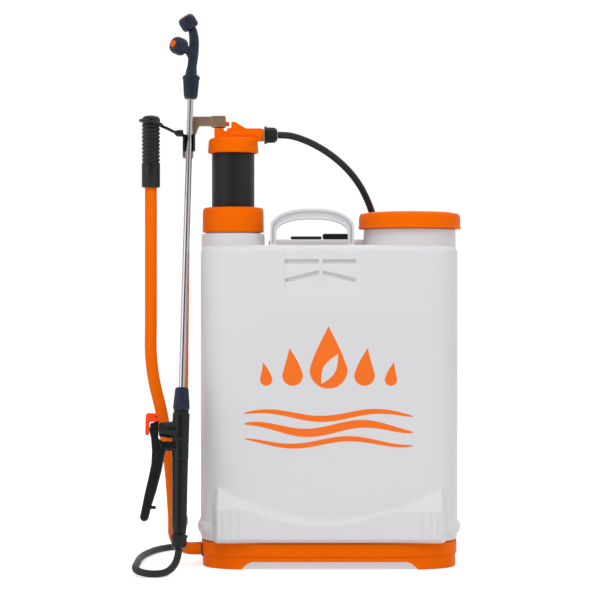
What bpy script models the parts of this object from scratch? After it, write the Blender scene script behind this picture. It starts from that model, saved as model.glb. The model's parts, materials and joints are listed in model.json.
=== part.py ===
"""Lever-operated backpack sprayer with a 16 litre tank, modelled piece by piece in metres, +Z up.

The front faces -Y and the wearer stands at +Y. X is measured from the tank's middle and the floor is Z = 0.
A root empty then carries everything, so that the whole object is centred over the origin.
"""
import math

import bmesh
import bpy
from mathutils import Matrix, Vector

MM = 0.001
GAP = 0.3 * MM

# Tank and base
TANK_WIDTH = 318 * MM
TANK_DEPTH = 170 * MM
TANK_BOTTOM = 32 * MM
TANK_TOP = 394 * MM
SIDE = TANK_WIDTH / 2
BACK = TANK_DEPTH / 2
TANK_WALL = 3 * MM
BACK_HOLLOW = 22 * MM
BEAD_OUT = 3.5 * MM
BEAD_HEIGHT = 26 * MM
BULGE_OUT = 7 * MM
BASE_INSET = 1 * MM
BASE_WALL = 3.5 * MM
BASE_STEP_HEIGHT = 16 * MM
SOLE = 3 * MM
BASE_STEP_IN = 1.5 * MM
ARCH_HEIGHT = 9.7 * MM
FOOT_LENGTH = 51.5 * MM
ARCH_SLOPE = 10.5 * MM
RIDGE_TOP = TANK_TOP + 10 * MM
RIDGE_DEPTH = 28 * MM
RIDGE_IN = 19 * MM
BULGE_END = 20 * MM

# Filler, lid and handle
FILLER_IN = 58 * MM
FILLER_X = SIDE - FILLER_IN
FILLER_RADIUS = 57.5 * MM
FILLER_NECK_RADIUS = 54 * MM
FILLER_BORE = 50 * MM
COLLAR_TOP = TANK_TOP + 19 * MM
NECK_TOP = COLLAR_TOP + 13 * MM
LID_RADIUS = 64 * MM
LID_BOTTOM = COLLAR_TOP + 2.5 * MM
LID_TOP = NECK_TOP + 11.5 * MM
LID_WALL = 3 * MM
STRAINER_DEPTH = 58 * MM
HANDLE_Y = -24 * MM
HANDLE_TOP = TANK_TOP + 46 * MM
HANDLE_LEG = 7.5 * MM
HANDLE_CROWN = 13 * MM
HANDLE_DEPTH = 26 * MM

# Pump
PUMP_IN = 39.6 * MM
PUMP_X = PUMP_IN - SIDE
PEDESTAL_RADIUS = 39.4 * MM
DECK_LEFT = PUMP_X + PEDESTAL_RADIUS
DECK_RIGHT = FILLER_X - LID_RADIUS
HANDLE_CLEARANCE = 6.7 * MM
HANDLE_X = (DECK_LEFT + DECK_RIGHT) / 2 + 0.5 * MM
HANDLE_HALF = (DECK_RIGHT - DECK_LEFT) / 2 - HANDLE_CLEARANCE
PEDESTAL_TOP = TANK_TOP + 15.5 * MM
PUMP_NECK_RADIUS = 33.6 * MM
PUMP_NECK_TOP = PEDESTAL_TOP + 18.5 * MM
BARREL_RADIUS = 31 * MM
BARREL_WALL = 2 * MM
BARREL_LENGTH = 166 * MM
BARREL_BOTTOM = PUMP_NECK_TOP - BARREL_LENGTH
RING_RADIUS = 38.3 * MM
RING_TOP = PUMP_NECK_TOP + 14.5 * MM
CHAMBER_RADIUS = 26.6 * MM
CHAMBER_WALL = 2.5 * MM
CHAMBER_BOTTOM = PUMP_NECK_TOP - 76 * MM
CAP_BOTTOM = RING_TOP + 67.5 * MM
CAP_TOP = CAP_BOTTOM + 19 * MM
CAP_RADIUS = 31.6 * MM
CAP_DEEP = 12 * MM
POST_TOP = CAP_TOP + 12.5 * MM
FIN_TOP = CAP_TOP + 20.5 * MM
SPOUT_Z = CAP_TOP + 4 * MM
SPOUT_RADIUS = 7.8 * MM
SPOUT_LENGTH = 38.6 * MM
SPOUT_END = PUMP_X + SPOUT_LENGTH
HOSE_RADIUS = 4.3 * MM
SUCTION_RADIUS = 7 * MM
BALL_RADIUS = 6 * MM

# Drive: lever shaft, crank, rod and bracket
LEVER_Y = -34 * MM
LEVER_Z = 20.5 * MM
TUBE_RADIUS = 7.4 * MM
SHAFT_END = 97 * MM - SIDE
BEND_START = -SIDE - 10 * MM
BEND_RADIUS = 22.5 * MM
GRIP_X = -SIDE - 60.9 * MM
GRIP_RADIUS = 11.4 * MM
GRIP_LENGTH = 89.2 * MM
GRIP_TOP = CAP_TOP + 25.7 * MM
GRIP_BOTTOM = GRIP_TOP - GRIP_LENGTH
CRANK_RADIUS = 40 * MM
CRANK_START = math.radians(52)
LEVER_TRAVEL = math.radians(66)
CRANK_X = BEND_START - BEND_RADIUS
CRANK_THICK = 5 * MM
CRANK_PIN_RADIUS = 3 * MM
ROD_X = -SIDE - 17 * MM
ROD_FOOT_X = -SIDE - 21.3 * MM
ROD_RADIUS = 3.2 * MM
ROD_TOP_Z = CAP_TOP - 17 * MM
EYE_RADIUS = 10 * MM
EYE_THICK = 5 * MM
BRACKET_TOP = CAP_TOP + 28 * MM
BUSH_WALL = 1.6 * MM

# Wand, measured along its own axis from the seat of the lower gland nut
WAND_SEAT = Vector((-SIDE - 20.2 * MM, -78.9 * MM, 219.2 * MM))
WAND_AIM = Vector((-SIDE - 13.3 * MM, -7.8 * MM, 577.8 * MM))
LANCE_RADIUS = 4 * MM
LANCE_TOP = 380 * MM
WAND_GRIP_RADIUS = 10.3 * MM
WAND_GRIP_TOP = -28 * MM
WAND_GRIP_BOTTOM = -176 * MM
VALVE_Z = -50 * MM
BOSS_RADIUS = 9.5 * MM
BOSS_END = -26 * MM
STEM_RADIUS = 2.3 * MM
TRIGGER_PIVOT = (-19 * MM, -69 * MM)
TRIGGER_HALF = 6 * MM
LOCK_PIVOT = (-29 * MM, -36 * MM)
HOSE_NUT_LENGTH = 16 * MM

# Shoulder straps
STRAP_WIDTH = 38 * MM
STRAP_THICK = 3 * MM
STRAP_TOP_X = 20.5 * MM
STRAP_MID_X = -7.5 * MM
STRAP_FOOT_IN = 41 * MM
STRAP_FOOT_X = SIDE - STRAP_FOOT_IN

# The object's own middle, so that the root empty can centre it
CENTRE_X = -35.5 * MM

STEPS = 20
WIDE_STEPS = 28


def material(name, colour, roughness, metallic=0.0):
    """Return a Principled material with a plain colour."""
    made = bpy.data.materials.new(name)
    made.use_nodes = True
    shader = made.node_tree.nodes["Principled BSDF"]
    shader.inputs["Base Color"].default_value = (*colour, 1.0)
    shader.inputs["Roughness"].default_value = roughness
    shader.inputs["Metallic"].default_value = metallic
    made.diffuse_color = (*colour, 1.0)
    return made


for old in list(bpy.data.objects):
    bpy.data.objects.remove(old, do_unlink=True)

PARTS = bpy.data.collections.new("backpack_sprayer")
CUTTERS = bpy.data.collections.new("cutters")
bpy.context.scene.collection.children.link(PARTS)
bpy.context.scene.collection.children.link(CUTTERS)

WHITE = ("tank white", (0.72, 0.72, 0.74), 0.45)
ORANGE = ("orange plastic", (0.95, 0.15, 0.004), 0.4)
BLACK = ("black plastic", (0.013, 0.015, 0.015), 0.5)
NAVY = ("navy plastic", (0.014, 0.022, 0.045), 0.45)
RUBBER = ("rubber", (0.02, 0.022, 0.022), 0.8)
CHROME = ("chromed steel", (0.75, 0.75, 0.75), 0.15, 1.0)
STEEL = ("plain steel", (0.5, 0.5, 0.5), 0.35, 1.0)
PAINT = ("orange paint", (0.92, 0.14, 0.004), 0.3)
CAST = ("cast alloy", (0.2, 0.16, 0.11), 0.45, 0.6)
RED = ("red plastic", (1.0, 0.07, 0.003), 0.4)
HOSE_STUFF = ("hose rubber", (0.033, 0.044, 0.04), 0.6)
WEBBING = ("webbing", (0.012, 0.012, 0.013), 0.85)


def keep(obj, name, look, parent):
    """Name a finished piece, give it its own material, and hang it on its parent."""
    obj.name = name
    obj.data.name = name
    obj.data.materials.clear()
    obj.data.materials.append(material(name + " " + look[0], *look[1:]))
    for owner in list(obj.users_collection):
        owner.objects.unlink(obj)
    PARTS.objects.link(obj)
    obj.parent = parent
    if obj.type == "MESH":
        obj.data.shade_smooth()
        obj.data.set_sharp_from_angle(angle=math.radians(35))
    return obj


def empty(name, location, parent=None, rotation=None):
    """Return an empty that carries the pieces of one body."""
    made = bpy.data.objects.new(name, None)
    PARTS.objects.link(made)
    made.parent = parent
    made.location = location
    if rotation:
        made.rotation_mode = "QUATERNION"
        made.rotation_quaternion = rotation
    return made


def from_bmesh(shape):
    """Turn a bmesh into a new object."""
    mesh = bpy.data.meshes.new("shape")
    shape.to_mesh(mesh)
    shape.free()
    made = bpy.data.objects.new("shape", mesh)
    PARTS.objects.link(made)
    return made


def turn(profile, closed, steps=STEPS):
    """Turn a profile of (radius, height) points about Z. The profile runs down its outer side."""
    shape = bmesh.new()
    points = [shape.verts.new((radius, 0.0, height)) for radius, height in profile]
    for first, second in zip(points, points[1:]):
        shape.edges.new((first, second))
    if closed:
        shape.edges.new((points[-1], points[0]))
    made = from_bmesh(shape)
    screw = made.modifiers.new("turn", "SCREW")
    screw.steps = steps
    screw.render_steps = steps
    screw.use_merge_vertices = True
    screw.merge_threshold = 1e-5
    return as_mesh(made, True)


def as_mesh(obj, face_out=False):
    """Apply what an object evaluates to, with its loose caps welded and, if asked, its faces turned out."""
    bpy.context.view_layer.update()
    depsgraph = bpy.context.evaluated_depsgraph_get()
    mesh = bpy.data.meshes.new_from_object(obj.evaluated_get(depsgraph))
    shape = bmesh.new()
    shape.from_mesh(mesh)
    bmesh.ops.remove_doubles(shape, verts=shape.verts, dist=1e-6)
    if face_out:
        bmesh.ops.recalc_face_normals(shape, faces=shape.faces)
    shape.to_mesh(mesh)
    shape.free()
    made = bpy.data.objects.new(obj.name, mesh)
    PARTS.objects.link(made)
    made.matrix_world = obj.matrix_world
    bpy.data.objects.remove(obj, do_unlink=True)
    return made


def disc(radius, low, high, steps=STEPS):
    """Return a solid round bar along Z."""
    return turn([(0, high), (radius, high), (radius, low), (0, low)], False, steps)


def ring(outer, inner, low, high, steps=STEPS):
    """Return a plain sleeve along Z."""
    return turn([(outer, high), (outer, low), (inner, low), (inner, high)], True, steps)


def place(obj, location=(0, 0, 0), rotation=(0, 0, 0)):
    """Move and turn a shape, and bake that into its mesh."""
    matrix = Matrix.Translation(location)
    for angle, axis in zip(rotation, "XYZ"):
        matrix = matrix @ Matrix.Rotation(angle, 4, axis)
    obj.data.transform(matrix)
    return obj


def along_x(obj, location=(0, 0, 0)):
    """Lay a shape that was made along Z along +X."""
    return place(obj, location, (0, math.pi / 2, 0))


def along_y(obj, location=(0, 0, 0)):
    """Lay a shape that was made along Z along -Y."""
    return place(obj, location, (math.pi / 2, 0, 0))


def box(low, high, bevel=0.0):
    """Return a box between two corners, with rounded edges if asked."""
    shape = bmesh.new()
    bmesh.ops.create_cube(shape, size=1.0)
    low, high = Vector(low), Vector(high)
    size = high - low
    middle = (high + low) / 2
    for vert in shape.verts:
        vert.co = Vector(c * s + m for c, s, m in zip(vert.co, size, middle))
    made = from_bmesh(shape)
    return rounded(made, bevel) if bevel else made


def rounded(obj, width, segments=2, angle=40):
    """Round the sharp edges of a shape."""
    weld = obj.modifiers.new("weld", "WELD")
    weld.merge_threshold = 1e-5
    bevel = obj.modifiers.new("round", "BEVEL")
    bevel.width = width
    bevel.segments = segments
    bevel.limit_method = "ANGLE"
    bevel.angle_limit = math.radians(angle)
    return as_mesh(obj)


def plate(outline, low, high, plane="XY"):
    """Extrude a flat outline from low to high, across Z for plane XY or across Y for plane XZ."""
    curve = bpy.data.curves.new("outline", "CURVE")
    curve.dimensions = "2D"
    curve.fill_mode = "BOTH"
    curve.extrude = (high - low) / 2
    spline = curve.splines.new("POLY")
    spline.points.add(len(outline) - 1)
    for point, (across, up) in zip(spline.points, outline):
        point.co = (across, up, 0, 1)
    spline.use_cyclic_u = True
    made = bpy.data.objects.new("outline", curve)
    PARTS.objects.link(made)
    made = as_mesh(made, True)
    middle = (high + low) / 2
    if plane == "XZ":
        return place(made, (0, middle, 0), (math.pi / 2, 0, 0))
    return place(made, (0, 0, middle))


def tube(points, radius, resolution=3):
    """Return a round bar through a list of points."""
    curve = bpy.data.curves.new("tube", "CURVE")
    curve.dimensions = "3D"
    curve.bevel_depth = radius
    curve.bevel_resolution = resolution
    curve.use_fill_caps = True
    spline = curve.splines.new("POLY")
    spline.points.add(len(points) - 1)
    for point, co in zip(spline.points, points):
        point.co = (*co, 1)
    made = bpy.data.objects.new("tube", curve)
    PARTS.objects.link(made)
    return as_mesh(made, True)


def smooth(points, count):
    """Return a smooth run of points through the given ones."""
    points = [Vector(p) for p in points]
    ends = [2 * points[0] - points[1]] + points + [2 * points[-1] - points[-2]]
    made = []
    for start in range(len(points) - 1):
        a, b, c, d = ends[start:start + 4]
        for step in range(count):
            t = step / count
            made.append(0.5 * (2 * b + (c - a) * t + (2 * a - 5 * b + 4 * c - d) * t * t
                               + (3 * b - a - 3 * c + d) * t ** 3))
    made.append(points[-1])
    return made


def combine(obj, other, operation):
    """Cut, join or cross a shape with another, and keep the other as a hidden guide."""
    other.hide_render = True
    other.display_type = "WIRE"
    for owner in list(other.users_collection):
        owner.objects.unlink(other)
    CUTTERS.objects.link(other)
    step = obj.modifiers.new(operation.lower(), "BOOLEAN")
    step.operation = operation
    step.object = other
    step.solver = "EXACT"
    made = as_mesh(obj)
    bpy.data.objects.remove(other, do_unlink=True)
    return made


def cut(obj, *others):
    """Cut each of the other shapes out of the first."""
    for other in others:
        obj = combine(obj, other, "DIFFERENCE")
    return obj


def join(obj, *others):
    """Join each of the other shapes to the first."""
    for other in others:
        obj = combine(obj, other, "UNION")
    return obj


def arc(centre, radius, start, end, count):
    """Return points along an arc, with angles in degrees."""
    made = []
    for step in range(count + 1):
        angle = math.radians(start + (end - start) * step / count)
        made.append((centre[0] + radius * math.cos(angle), centre[1] + radius * math.sin(angle)))
    return made


def tank_plan(inset, count=40):
    """Return the tank's outline from above: round ends, a soft front and a hollow back."""
    half_width = TANK_WIDTH / 2 - inset
    half_depth = TANK_DEPTH / 2 - inset
    power = 2 / 4.2
    made = []
    for step in range(count):
        angle = 2 * math.pi * step / count
        c, s = math.cos(angle), math.sin(angle)
        across = half_width * math.copysign(abs(c) ** power, c)
        along = half_depth * math.copysign(abs(s) ** power, s)
        if along > 0:
            reach = min(1.0, abs(across) / (0.85 * half_width))
            along -= BACK_HOLLOW * 0.5 * (1 + math.cos(math.pi * reach)) * along / half_depth
        made.append((across, along))
    return made


def loft(inset, low, high, radius=0.0, steps=3, count=40):
    """Stack the tank's outline from low to high, with its two rims rounded to a radius."""
    rims = [math.pi / 2 * step / steps for step in range(steps + 1)] if radius else [math.pi / 2]
    under = [(inset + radius * (1 - math.sin(angle)), radius * (1 - math.cos(angle))) for angle in rims]
    levels = [(edge, low + rise) for edge, rise in under]
    levels += [(edge, high - rise) for edge, rise in reversed(under)]
    shape = bmesh.new()
    rows = []
    for edge, height in levels:
        rows.append([shape.verts.new((across, along, height)) for across, along in tank_plan(edge, count)])
    for lower, upper in zip(rows, rows[1:]):
        for step in range(count):
            after = (step + 1) % count
            shape.faces.new((lower[step], lower[after], upper[after], upper[step]))
    shape.faces.new(rows[0][::-1])
    shape.faces.new(rows[-1])
    return from_bmesh(shape)


def make_tank(root):
    """Blow-moulded tank: hollow body, bead, front bulge with flutes, recesses, two necks and a rear ridge."""
    body = loft(0, TANK_BOTTOM + GAP, TANK_TOP, 9 * MM)
    bead = loft(-BEAD_OUT, TANK_BOTTOM + 4 * MM, TANK_BOTTOM + BEAD_HEIGHT, 8 * MM)
    front = -BACK
    bulge_low = TANK_BOTTOM + 2 * MM
    reach = SIDE - BULGE_END
    smile = [(-reach, 97 * MM), (-0.8 * reach, 76 * MM), (-0.43 * reach, 62 * MM), (0, 56 * MM),
             (0.43 * reach, 62 * MM), (0.8 * reach, 76 * MM), (reach, 97 * MM)]
    outline = smile[::-1] + [(-reach, bulge_low), (reach, bulge_low)]
    bulge = rounded(plate(outline, front - BULGE_OUT, front + 45 * MM, "XZ"), 4 * MM, 2)
    ridge_back = BACK - RIDGE_IN
    ridge = rounded(box((-76 * MM, ridge_back - RIDGE_DEPTH, TANK_TOP - 20 * MM),
                        (48 * MM, ridge_back, RIDGE_TOP)), 4 * MM)
    pedestal = place(disc(PEDESTAL_RADIUS, TANK_TOP - 20 * MM, PEDESTAL_TOP), (PUMP_X, 0, 0))
    neck = place(disc(PUMP_NECK_RADIUS, TANK_TOP, PUMP_NECK_TOP), (PUMP_X, 0, 0))
    flare = 4 * MM
    collar = place(turn([(0, COLLAR_TOP), (FILLER_RADIUS, COLLAR_TOP),
                         (FILLER_RADIUS, TANK_TOP + flare), (FILLER_RADIUS + flare, TANK_TOP - 8 * MM),
                         (0, TANK_TOP - 8 * MM)], False, WIDE_STEPS), (FILLER_X, 0, 0))
    filler = place(disc(FILLER_NECK_RADIUS, TANK_TOP, NECK_TOP, WIDE_STEPS), (FILLER_X, 0, 0))
    body = join(body, bead, bulge, ridge, pedestal, neck, collar, filler)
    inside = loft(TANK_WALL, TANK_BOTTOM + TANK_WALL, TANK_TOP - TANK_WALL, 6 * MM, 2, 32)
    pump_bore = place(disc(BARREL_RADIUS + GAP, TANK_TOP - 30 * MM, PUMP_NECK_TOP + MM), (PUMP_X, 0, 0))
    filler_bore = place(disc(FILLER_BORE, TANK_TOP - 30 * MM, NECK_TOP + MM, WIDE_STEPS), (FILLER_X, 0, 0))
    body = cut(body, inside, pump_bore, filler_bore)
    for left, right in ((-55 * MM, -12.2 * MM), (-7.6 * MM, 34 * MM)):
        high, low, deep = TANK_TOP - 18 * MM, TANK_TOP - 62 * MM, 1.9 * MM
        wedge = [(front - MM, high), (front + deep, high), (front + deep, high - 8 * MM), (front - MM, low)]
        pocket = place(plate(wedge, left, right), (0, 0, 0), (math.pi / 2, 0, 0))
        body = cut(body, place(pocket, (0, 0, 0), (0, 0, math.pi / 2)))
    for side in (-1, 1):
        for column in range(3):
            across = side * (reach - 7.1 * MM - 10.3 * MM * column)
            flute = place(disc(2.2 * MM, 0, 33 * MM, 10), (across, front - BULGE_OUT - MM, 35 * MM))
            body = cut(body, flute)
    keep(body, "tank", WHITE, root)


def make_base(root):
    """Orange skirt under the tank, with a sole on each foot, an arch between them and a shaft seat."""
    top = TANK_BOTTOM
    upper = loft(BASE_INSET, BASE_STEP_HEIGHT, top)
    lower = loft(BASE_INSET + BASE_STEP_IN, 0, BASE_STEP_HEIGHT + MM)
    body = join(upper, lower)
    body = cut(body, loft(BASE_INSET + BASE_WALL, SOLE, top - BASE_WALL))
    half = SIDE - FOOT_LENGTH
    below = ARCH_SLOPE / ARCH_HEIGHT * MM
    arch = [(-half - below, -MM), (ARCH_SLOPE - half, ARCH_HEIGHT), (half - ARCH_SLOPE, ARCH_HEIGHT),
            (half + below, -MM)]
    body = cut(body, plate(arch, -TANK_DEPTH, TANK_DEPTH, "XZ"))
    web_low, web_high = SHAFT_END - 16 * MM, SHAFT_END - 10 * MM
    web = box((web_low, LEVER_Y - 15 * MM, ARCH_HEIGHT), (web_high, LEVER_Y + 15 * MM, top - MM))
    body = join(body, web)
    seat = TUBE_RADIUS + BUSH_WALL + 2 * GAP
    body = cut(body, along_x(disc(seat, -TANK_WIDTH / 2 - 5 * MM, SHAFT_END + 2 * MM), (0, LEVER_Y, LEVER_Z)))
    keep(body, "base", ORANGE, root)
    outer = TUBE_RADIUS + GAP + BUSH_WALL
    wall = side_at(LEVER_Y, BASE_INSET)
    for name, low, high in (("shaft_bush_outer", wall, wall + 9 * MM),
                            ("shaft_bush_inner", web_low, web_high)):
        keep(along_x(ring(outer, TUBE_RADIUS + GAP, low, high), (0, LEVER_Y, LEVER_Z)), name, BLACK, root)


def side_at(along, inset):
    """Return where the tank's left side lies at a given depth."""
    half_depth = TANK_DEPTH / 2 - inset
    reach = (1 - (abs(along) / half_depth) ** 4.2) ** (1 / 4.2)
    return -(TANK_WIDTH / 2 - inset) * reach


def make_handle(root):
    """Arched carry handle moulded as a band that is deepest at its crown."""
    foot = TANK_TOP + GAP
    shoulder = HANDLE_TOP - 22 * MM
    outer = arch_line(HANDLE_HALF, HANDLE_TOP, shoulder)
    inner = arch_line(HANDLE_HALF - HANDLE_LEG, HANDLE_TOP - HANDLE_CROWN, shoulder - 6 * MM)
    outline = [(-HANDLE_HALF, foot)] + outer + [(HANDLE_HALF, foot), (HANDLE_HALF - HANDLE_LEG, foot)]
    outline += inner[::-1] + [(-HANDLE_HALF + HANDLE_LEG, foot)]
    band = plate(outline, HANDLE_Y - HANDLE_DEPTH / 2, HANDLE_Y + HANDLE_DEPTH / 2, "XZ")
    band = rounded(band, 2 * MM, 2, 50)
    keep(place(band, (HANDLE_X, 0, 0)), "carry_handle", WHITE, root)


def arch_line(half, top, shoulder, count=12):
    """Return points along a flattened arch from its left shoulder to its right one."""
    made = []
    for step in range(count + 1):
        angle = math.pi - math.pi * step / count
        c, s = math.cos(angle), math.sin(angle)
        made.append((half * math.copysign(abs(c) ** 0.72, c), shoulder + (top - shoulder) * s ** 0.9))
    return made


def make_filler(root, lid_body, lift_body):
    """Screw lid with its gasket, and the strainer basket that hangs in the filler neck."""
    chamfer = 5 * MM
    skirt = (FILLER_NECK_RADIUS + GAP) / math.cos(math.pi / WIDE_STEPS)
    roof = LID_TOP - LID_WALL - 3 * MM
    profile = [(0, LID_TOP), (LID_RADIUS - 14 * MM, LID_TOP - MM), (LID_RADIUS - chamfer, LID_TOP - 2 * MM),
               (LID_RADIUS - MM, LID_TOP - 2 * MM - chamfer), (LID_RADIUS - MM, LID_BOTTOM + 3 * MM),
               (LID_RADIUS, LID_BOTTOM + 3 * MM), (LID_RADIUS, LID_BOTTOM),
               (skirt, LID_BOTTOM), (skirt, roof), (0, roof)]
    lid = turn(profile, False, WIDE_STEPS)
    keep(lid, "lid", ORANGE, lid_body)
    flange = 2 * MM
    seat = NECK_TOP + GAP
    gasket_low = seat + flange + GAP
    gasket = ring(FILLER_NECK_RADIUS - MM, FILLER_BORE - 4 * MM, gasket_low, roof - GAP, WIDE_STEPS)
    keep(gasket, "lid_gasket", RUBBER, lift_body)
    outer = FILLER_BORE - GAP
    wall = 1.6 * MM
    low = seat - STRAINER_DEPTH
    taper = 5 * MM
    basket = turn([(0, low + wall), (outer - taper - wall, low + wall), (outer - wall, seat + flange),
                   (FILLER_NECK_RADIUS - MM, seat + flange), (FILLER_NECK_RADIUS - MM, seat), (outer, seat),
                   (outer - taper, low), (0, low)], False, WIDE_STEPS)
    keep(place(basket, (FILLER_X, 0, 0)), "strainer_basket", BLACK, root)


def make_pump(root, ring_body, pump):
    """Pump: barrel and valves in the tank, and the chamber, cap and piston that ride up and down."""
    flange = 2.5 * MM
    seat = PUMP_NECK_TOP + GAP
    inner = BARREL_RADIUS - BARREL_WALL
    floor = BARREL_BOTTOM + 3 * MM
    hole = 4 * MM
    pipe = SUCTION_RADIUS
    barrel = turn([(PUMP_NECK_RADIUS, seat + flange), (PUMP_NECK_RADIUS, seat), (BARREL_RADIUS, seat),
                   (BARREL_RADIUS, BARREL_BOTTOM), (hole, BARREL_BOTTOM), (hole, floor), (inner, floor),
                   (inner, seat + flange)], True)
    keep(place(barrel, (PUMP_X, 0, 0)), "pump_barrel", BLACK, root)
    seat_z = floor + math.sqrt(BALL_RADIUS ** 2 - hole ** 2) + GAP
    keep(place(ball(BALL_RADIUS), (PUMP_X, 0, seat_z)), "suction_valve_ball", STEEL, root)
    foot = TANK_BOTTOM + TANK_WALL + 8 * MM
    suction = turn([(pipe + 4 * MM, BARREL_BOTTOM - GAP), (pipe + 4 * MM, BARREL_BOTTOM - 3 * MM),
                    (pipe, BARREL_BOTTOM - 5 * MM), (pipe, foot), (pipe - 2 * MM, foot),
                    (pipe - 2 * MM, BARREL_BOTTOM - GAP)], True, 16)
    keep(place(suction, (PUMP_X, 0, 0)), "suction_pipe", BLACK, root)

    lip = CHAMBER_RADIUS + GAP
    bore = (PUMP_NECK_RADIUS + GAP) / math.cos(math.pi / WIDE_STEPS)
    low = PEDESTAL_TOP + GAP + 1.5 * MM
    wiper_low = seat + flange + GAP
    wiper_high = wiper_low + 4 * MM
    edge = 4 * MM
    nut = turn([(RING_RADIUS - edge, RING_TOP), (RING_RADIUS - MM, RING_TOP - edge),
                (RING_RADIUS, low + 4 * MM),
                (RING_RADIUS, low), (bore, low), (bore, wiper_high + GAP), (lip, wiper_high + GAP),
                (lip, RING_TOP)], True, WIDE_STEPS)
    keep(nut, "pump_ring_nut", ORANGE, ring_body)
    wiper = ring(PUMP_NECK_RADIUS, lip, wiper_low, wiper_high)
    keep(place(wiper, (PUMP_X, 0, 0)), "wiper_seal", RUBBER, root)

    wall = CHAMBER_RADIUS - CHAMBER_WALL
    top = CAP_BOTTOM + CAP_DEEP
    chamber = ring(CHAMBER_RADIUS, wall, CHAMBER_BOTTOM, top)
    keep(chamber, "air_chamber", BLACK, pump)
    seal = ring(CHAMBER_RADIUS, wall, top + GAP, top + 2 * MM)
    keep(seal, "cap_seal", RUBBER, pump)
    make_cap(pump, top + 2 * MM + GAP)

    piston_top = CHAMBER_BOTTOM - GAP
    plug = wall - GAP
    cup_high = piston_top - 4 * MM
    cup_low = cup_high - 12 * MM
    core = 14 * MM
    passage = 4 * MM
    piston = turn([(plug, piston_top + 14 * MM), (plug, piston_top), (CHAMBER_RADIUS, piston_top),
                   (CHAMBER_RADIUS, cup_high), (core, cup_high), (core, cup_low - GAP),
                   (CHAMBER_RADIUS - 4 * MM, cup_low - GAP), (CHAMBER_RADIUS - 4 * MM, cup_low - 3 * MM),
                   (passage, cup_low - 3 * MM), (passage, piston_top),
                   (BALL_RADIUS + 2 * MM, piston_top + 4 * MM),
                   (BALL_RADIUS + 2 * MM, piston_top + 14 * MM)], True)
    keep(piston, "piston", BLACK, pump)
    cup = turn([(inner - GAP, cup_high - GAP), (inner - GAP, cup_low), (core + GAP, cup_low),
                (core + GAP, cup_high - GAP)], True)
    keep(cup, "piston_cup", RUBBER, pump)
    rise = (BALL_RADIUS + GAP) * math.sqrt(2) - passage
    keep(place(ball(BALL_RADIUS), (0, 0, piston_top + rise)), "discharge_valve_ball", STEEL, pump)


def ball(radius):
    """Return a small sphere."""
    shape = bmesh.new()
    bmesh.ops.create_uvsphere(shape, u_segments=16, v_segments=10, radius=radius)
    return from_bmesh(shape)


def make_cap(pump, roof):
    """Pump cap: a skirted crown with a post for the bracket, a gusset fin and the outlet spout."""
    skirt = CHAMBER_RADIUS + GAP
    crown = turn([(0, CAP_TOP), (CAP_RADIUS - 4 * MM, CAP_TOP), (CAP_RADIUS - MM, CAP_TOP - 3 * MM),
                  (CAP_RADIUS, CAP_BOTTOM), (skirt, CAP_BOTTOM), (skirt, roof), (0, roof)], False, WIDE_STEPS)
    post = rounded(box((-23.4 * MM, -7 * MM, CAP_TOP - 2 * MM), (-11.5 * MM, 7 * MM, POST_TOP)), 1.5 * MM)
    fin_half = 4 * MM
    notch = POST_TOP - 3.5 * MM
    fin = plate([(-13 * MM, CAP_TOP - 2 * MM), (-13 * MM, notch), (-7.4 * MM, notch), (-7.4 * MM, POST_TOP),
                 (-2.2 * MM, POST_TOP), (-2.2 * MM, FIN_TOP), (2 * MM, FIN_TOP), (17 * MM, SPOUT_Z + 7 * MM),
                 (30 * MM, SPOUT_Z), (30 * MM, CAP_TOP - 2 * MM)], -fin_half, fin_half, "XZ")
    spout = along_x(disc(SPOUT_RADIUS, -4 * MM, SPOUT_END - PUMP_X), (0, 0, SPOUT_Z))
    cap = join(crown, post, fin, spout)
    passage = along_x(disc(HOSE_RADIUS - 1.5 * MM, 0, SPOUT_END - PUMP_X + MM, 12), (0, 0, SPOUT_Z))
    riser = disc(HOSE_RADIUS - 1.2 * MM, roof - MM, SPOUT_Z, 12)
    cap = cut(cap, passage, riser)
    keep(cap, "pump_cap", ORANGE, pump)
    start = SPOUT_END - PUMP_X + GAP
    collar = HOSE_RADIUS + 5 * MM
    bore = HOSE_RADIUS - 1.5 * MM
    nut = turn([(bore, 0), (collar + 2 * MM, 0), (collar + 2 * MM, 3 * MM), (collar, 3.5 * MM),
                (collar - MM, 14 * MM), (collar - 3 * MM, 16.5 * MM), (bore, 16.5 * MM)], True, 20)
    nut = along_x(nut, (start, 0, SPOUT_Z))
    keep(nut, "pump_hose_nut", BLACK, pump)


def crank_point(angle):
    """Return where the crank pin lies, as depth and height, once the lever has swung by an angle."""
    lean = CRANK_START - angle
    return Vector((LEVER_Y + CRANK_RADIUS * math.cos(lean), LEVER_Z + CRANK_RADIUS * math.sin(lean)))


def crank_sag():
    """Return how far the crank pin's arc stands off the straight line between its ends."""
    ends = (crank_point(0) + crank_point(LEVER_TRAVEL)) / 2
    return crank_point(LEVER_TRAVEL / 2) - ends


def capsule(first, second, radius, other_radius, low, high):
    """Return a plate across X whose outline in Y and Z hugs two round ends."""
    across = second - first
    heading = math.degrees(math.atan2(across.y, across.x))
    outline = arc(first, radius, heading + 90, heading + 270, 10)
    outline += arc(second, other_radius, heading - 90, heading + 90, 10)
    return across_x(plate(outline, low, high))


def across_x(obj):
    """Turn a plate that was drawn in X and Y so that it is drawn in Y and Z and runs across X."""
    obj = place(obj, (0, 0, 0), (math.pi / 2, 0, 0))
    return place(obj, (0, 0, 0), (0, 0, math.pi / 2))


def at(obj, origin):
    """Shift a shape so that a point of it becomes its own origin."""
    return place(obj, -Vector(origin))


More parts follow.
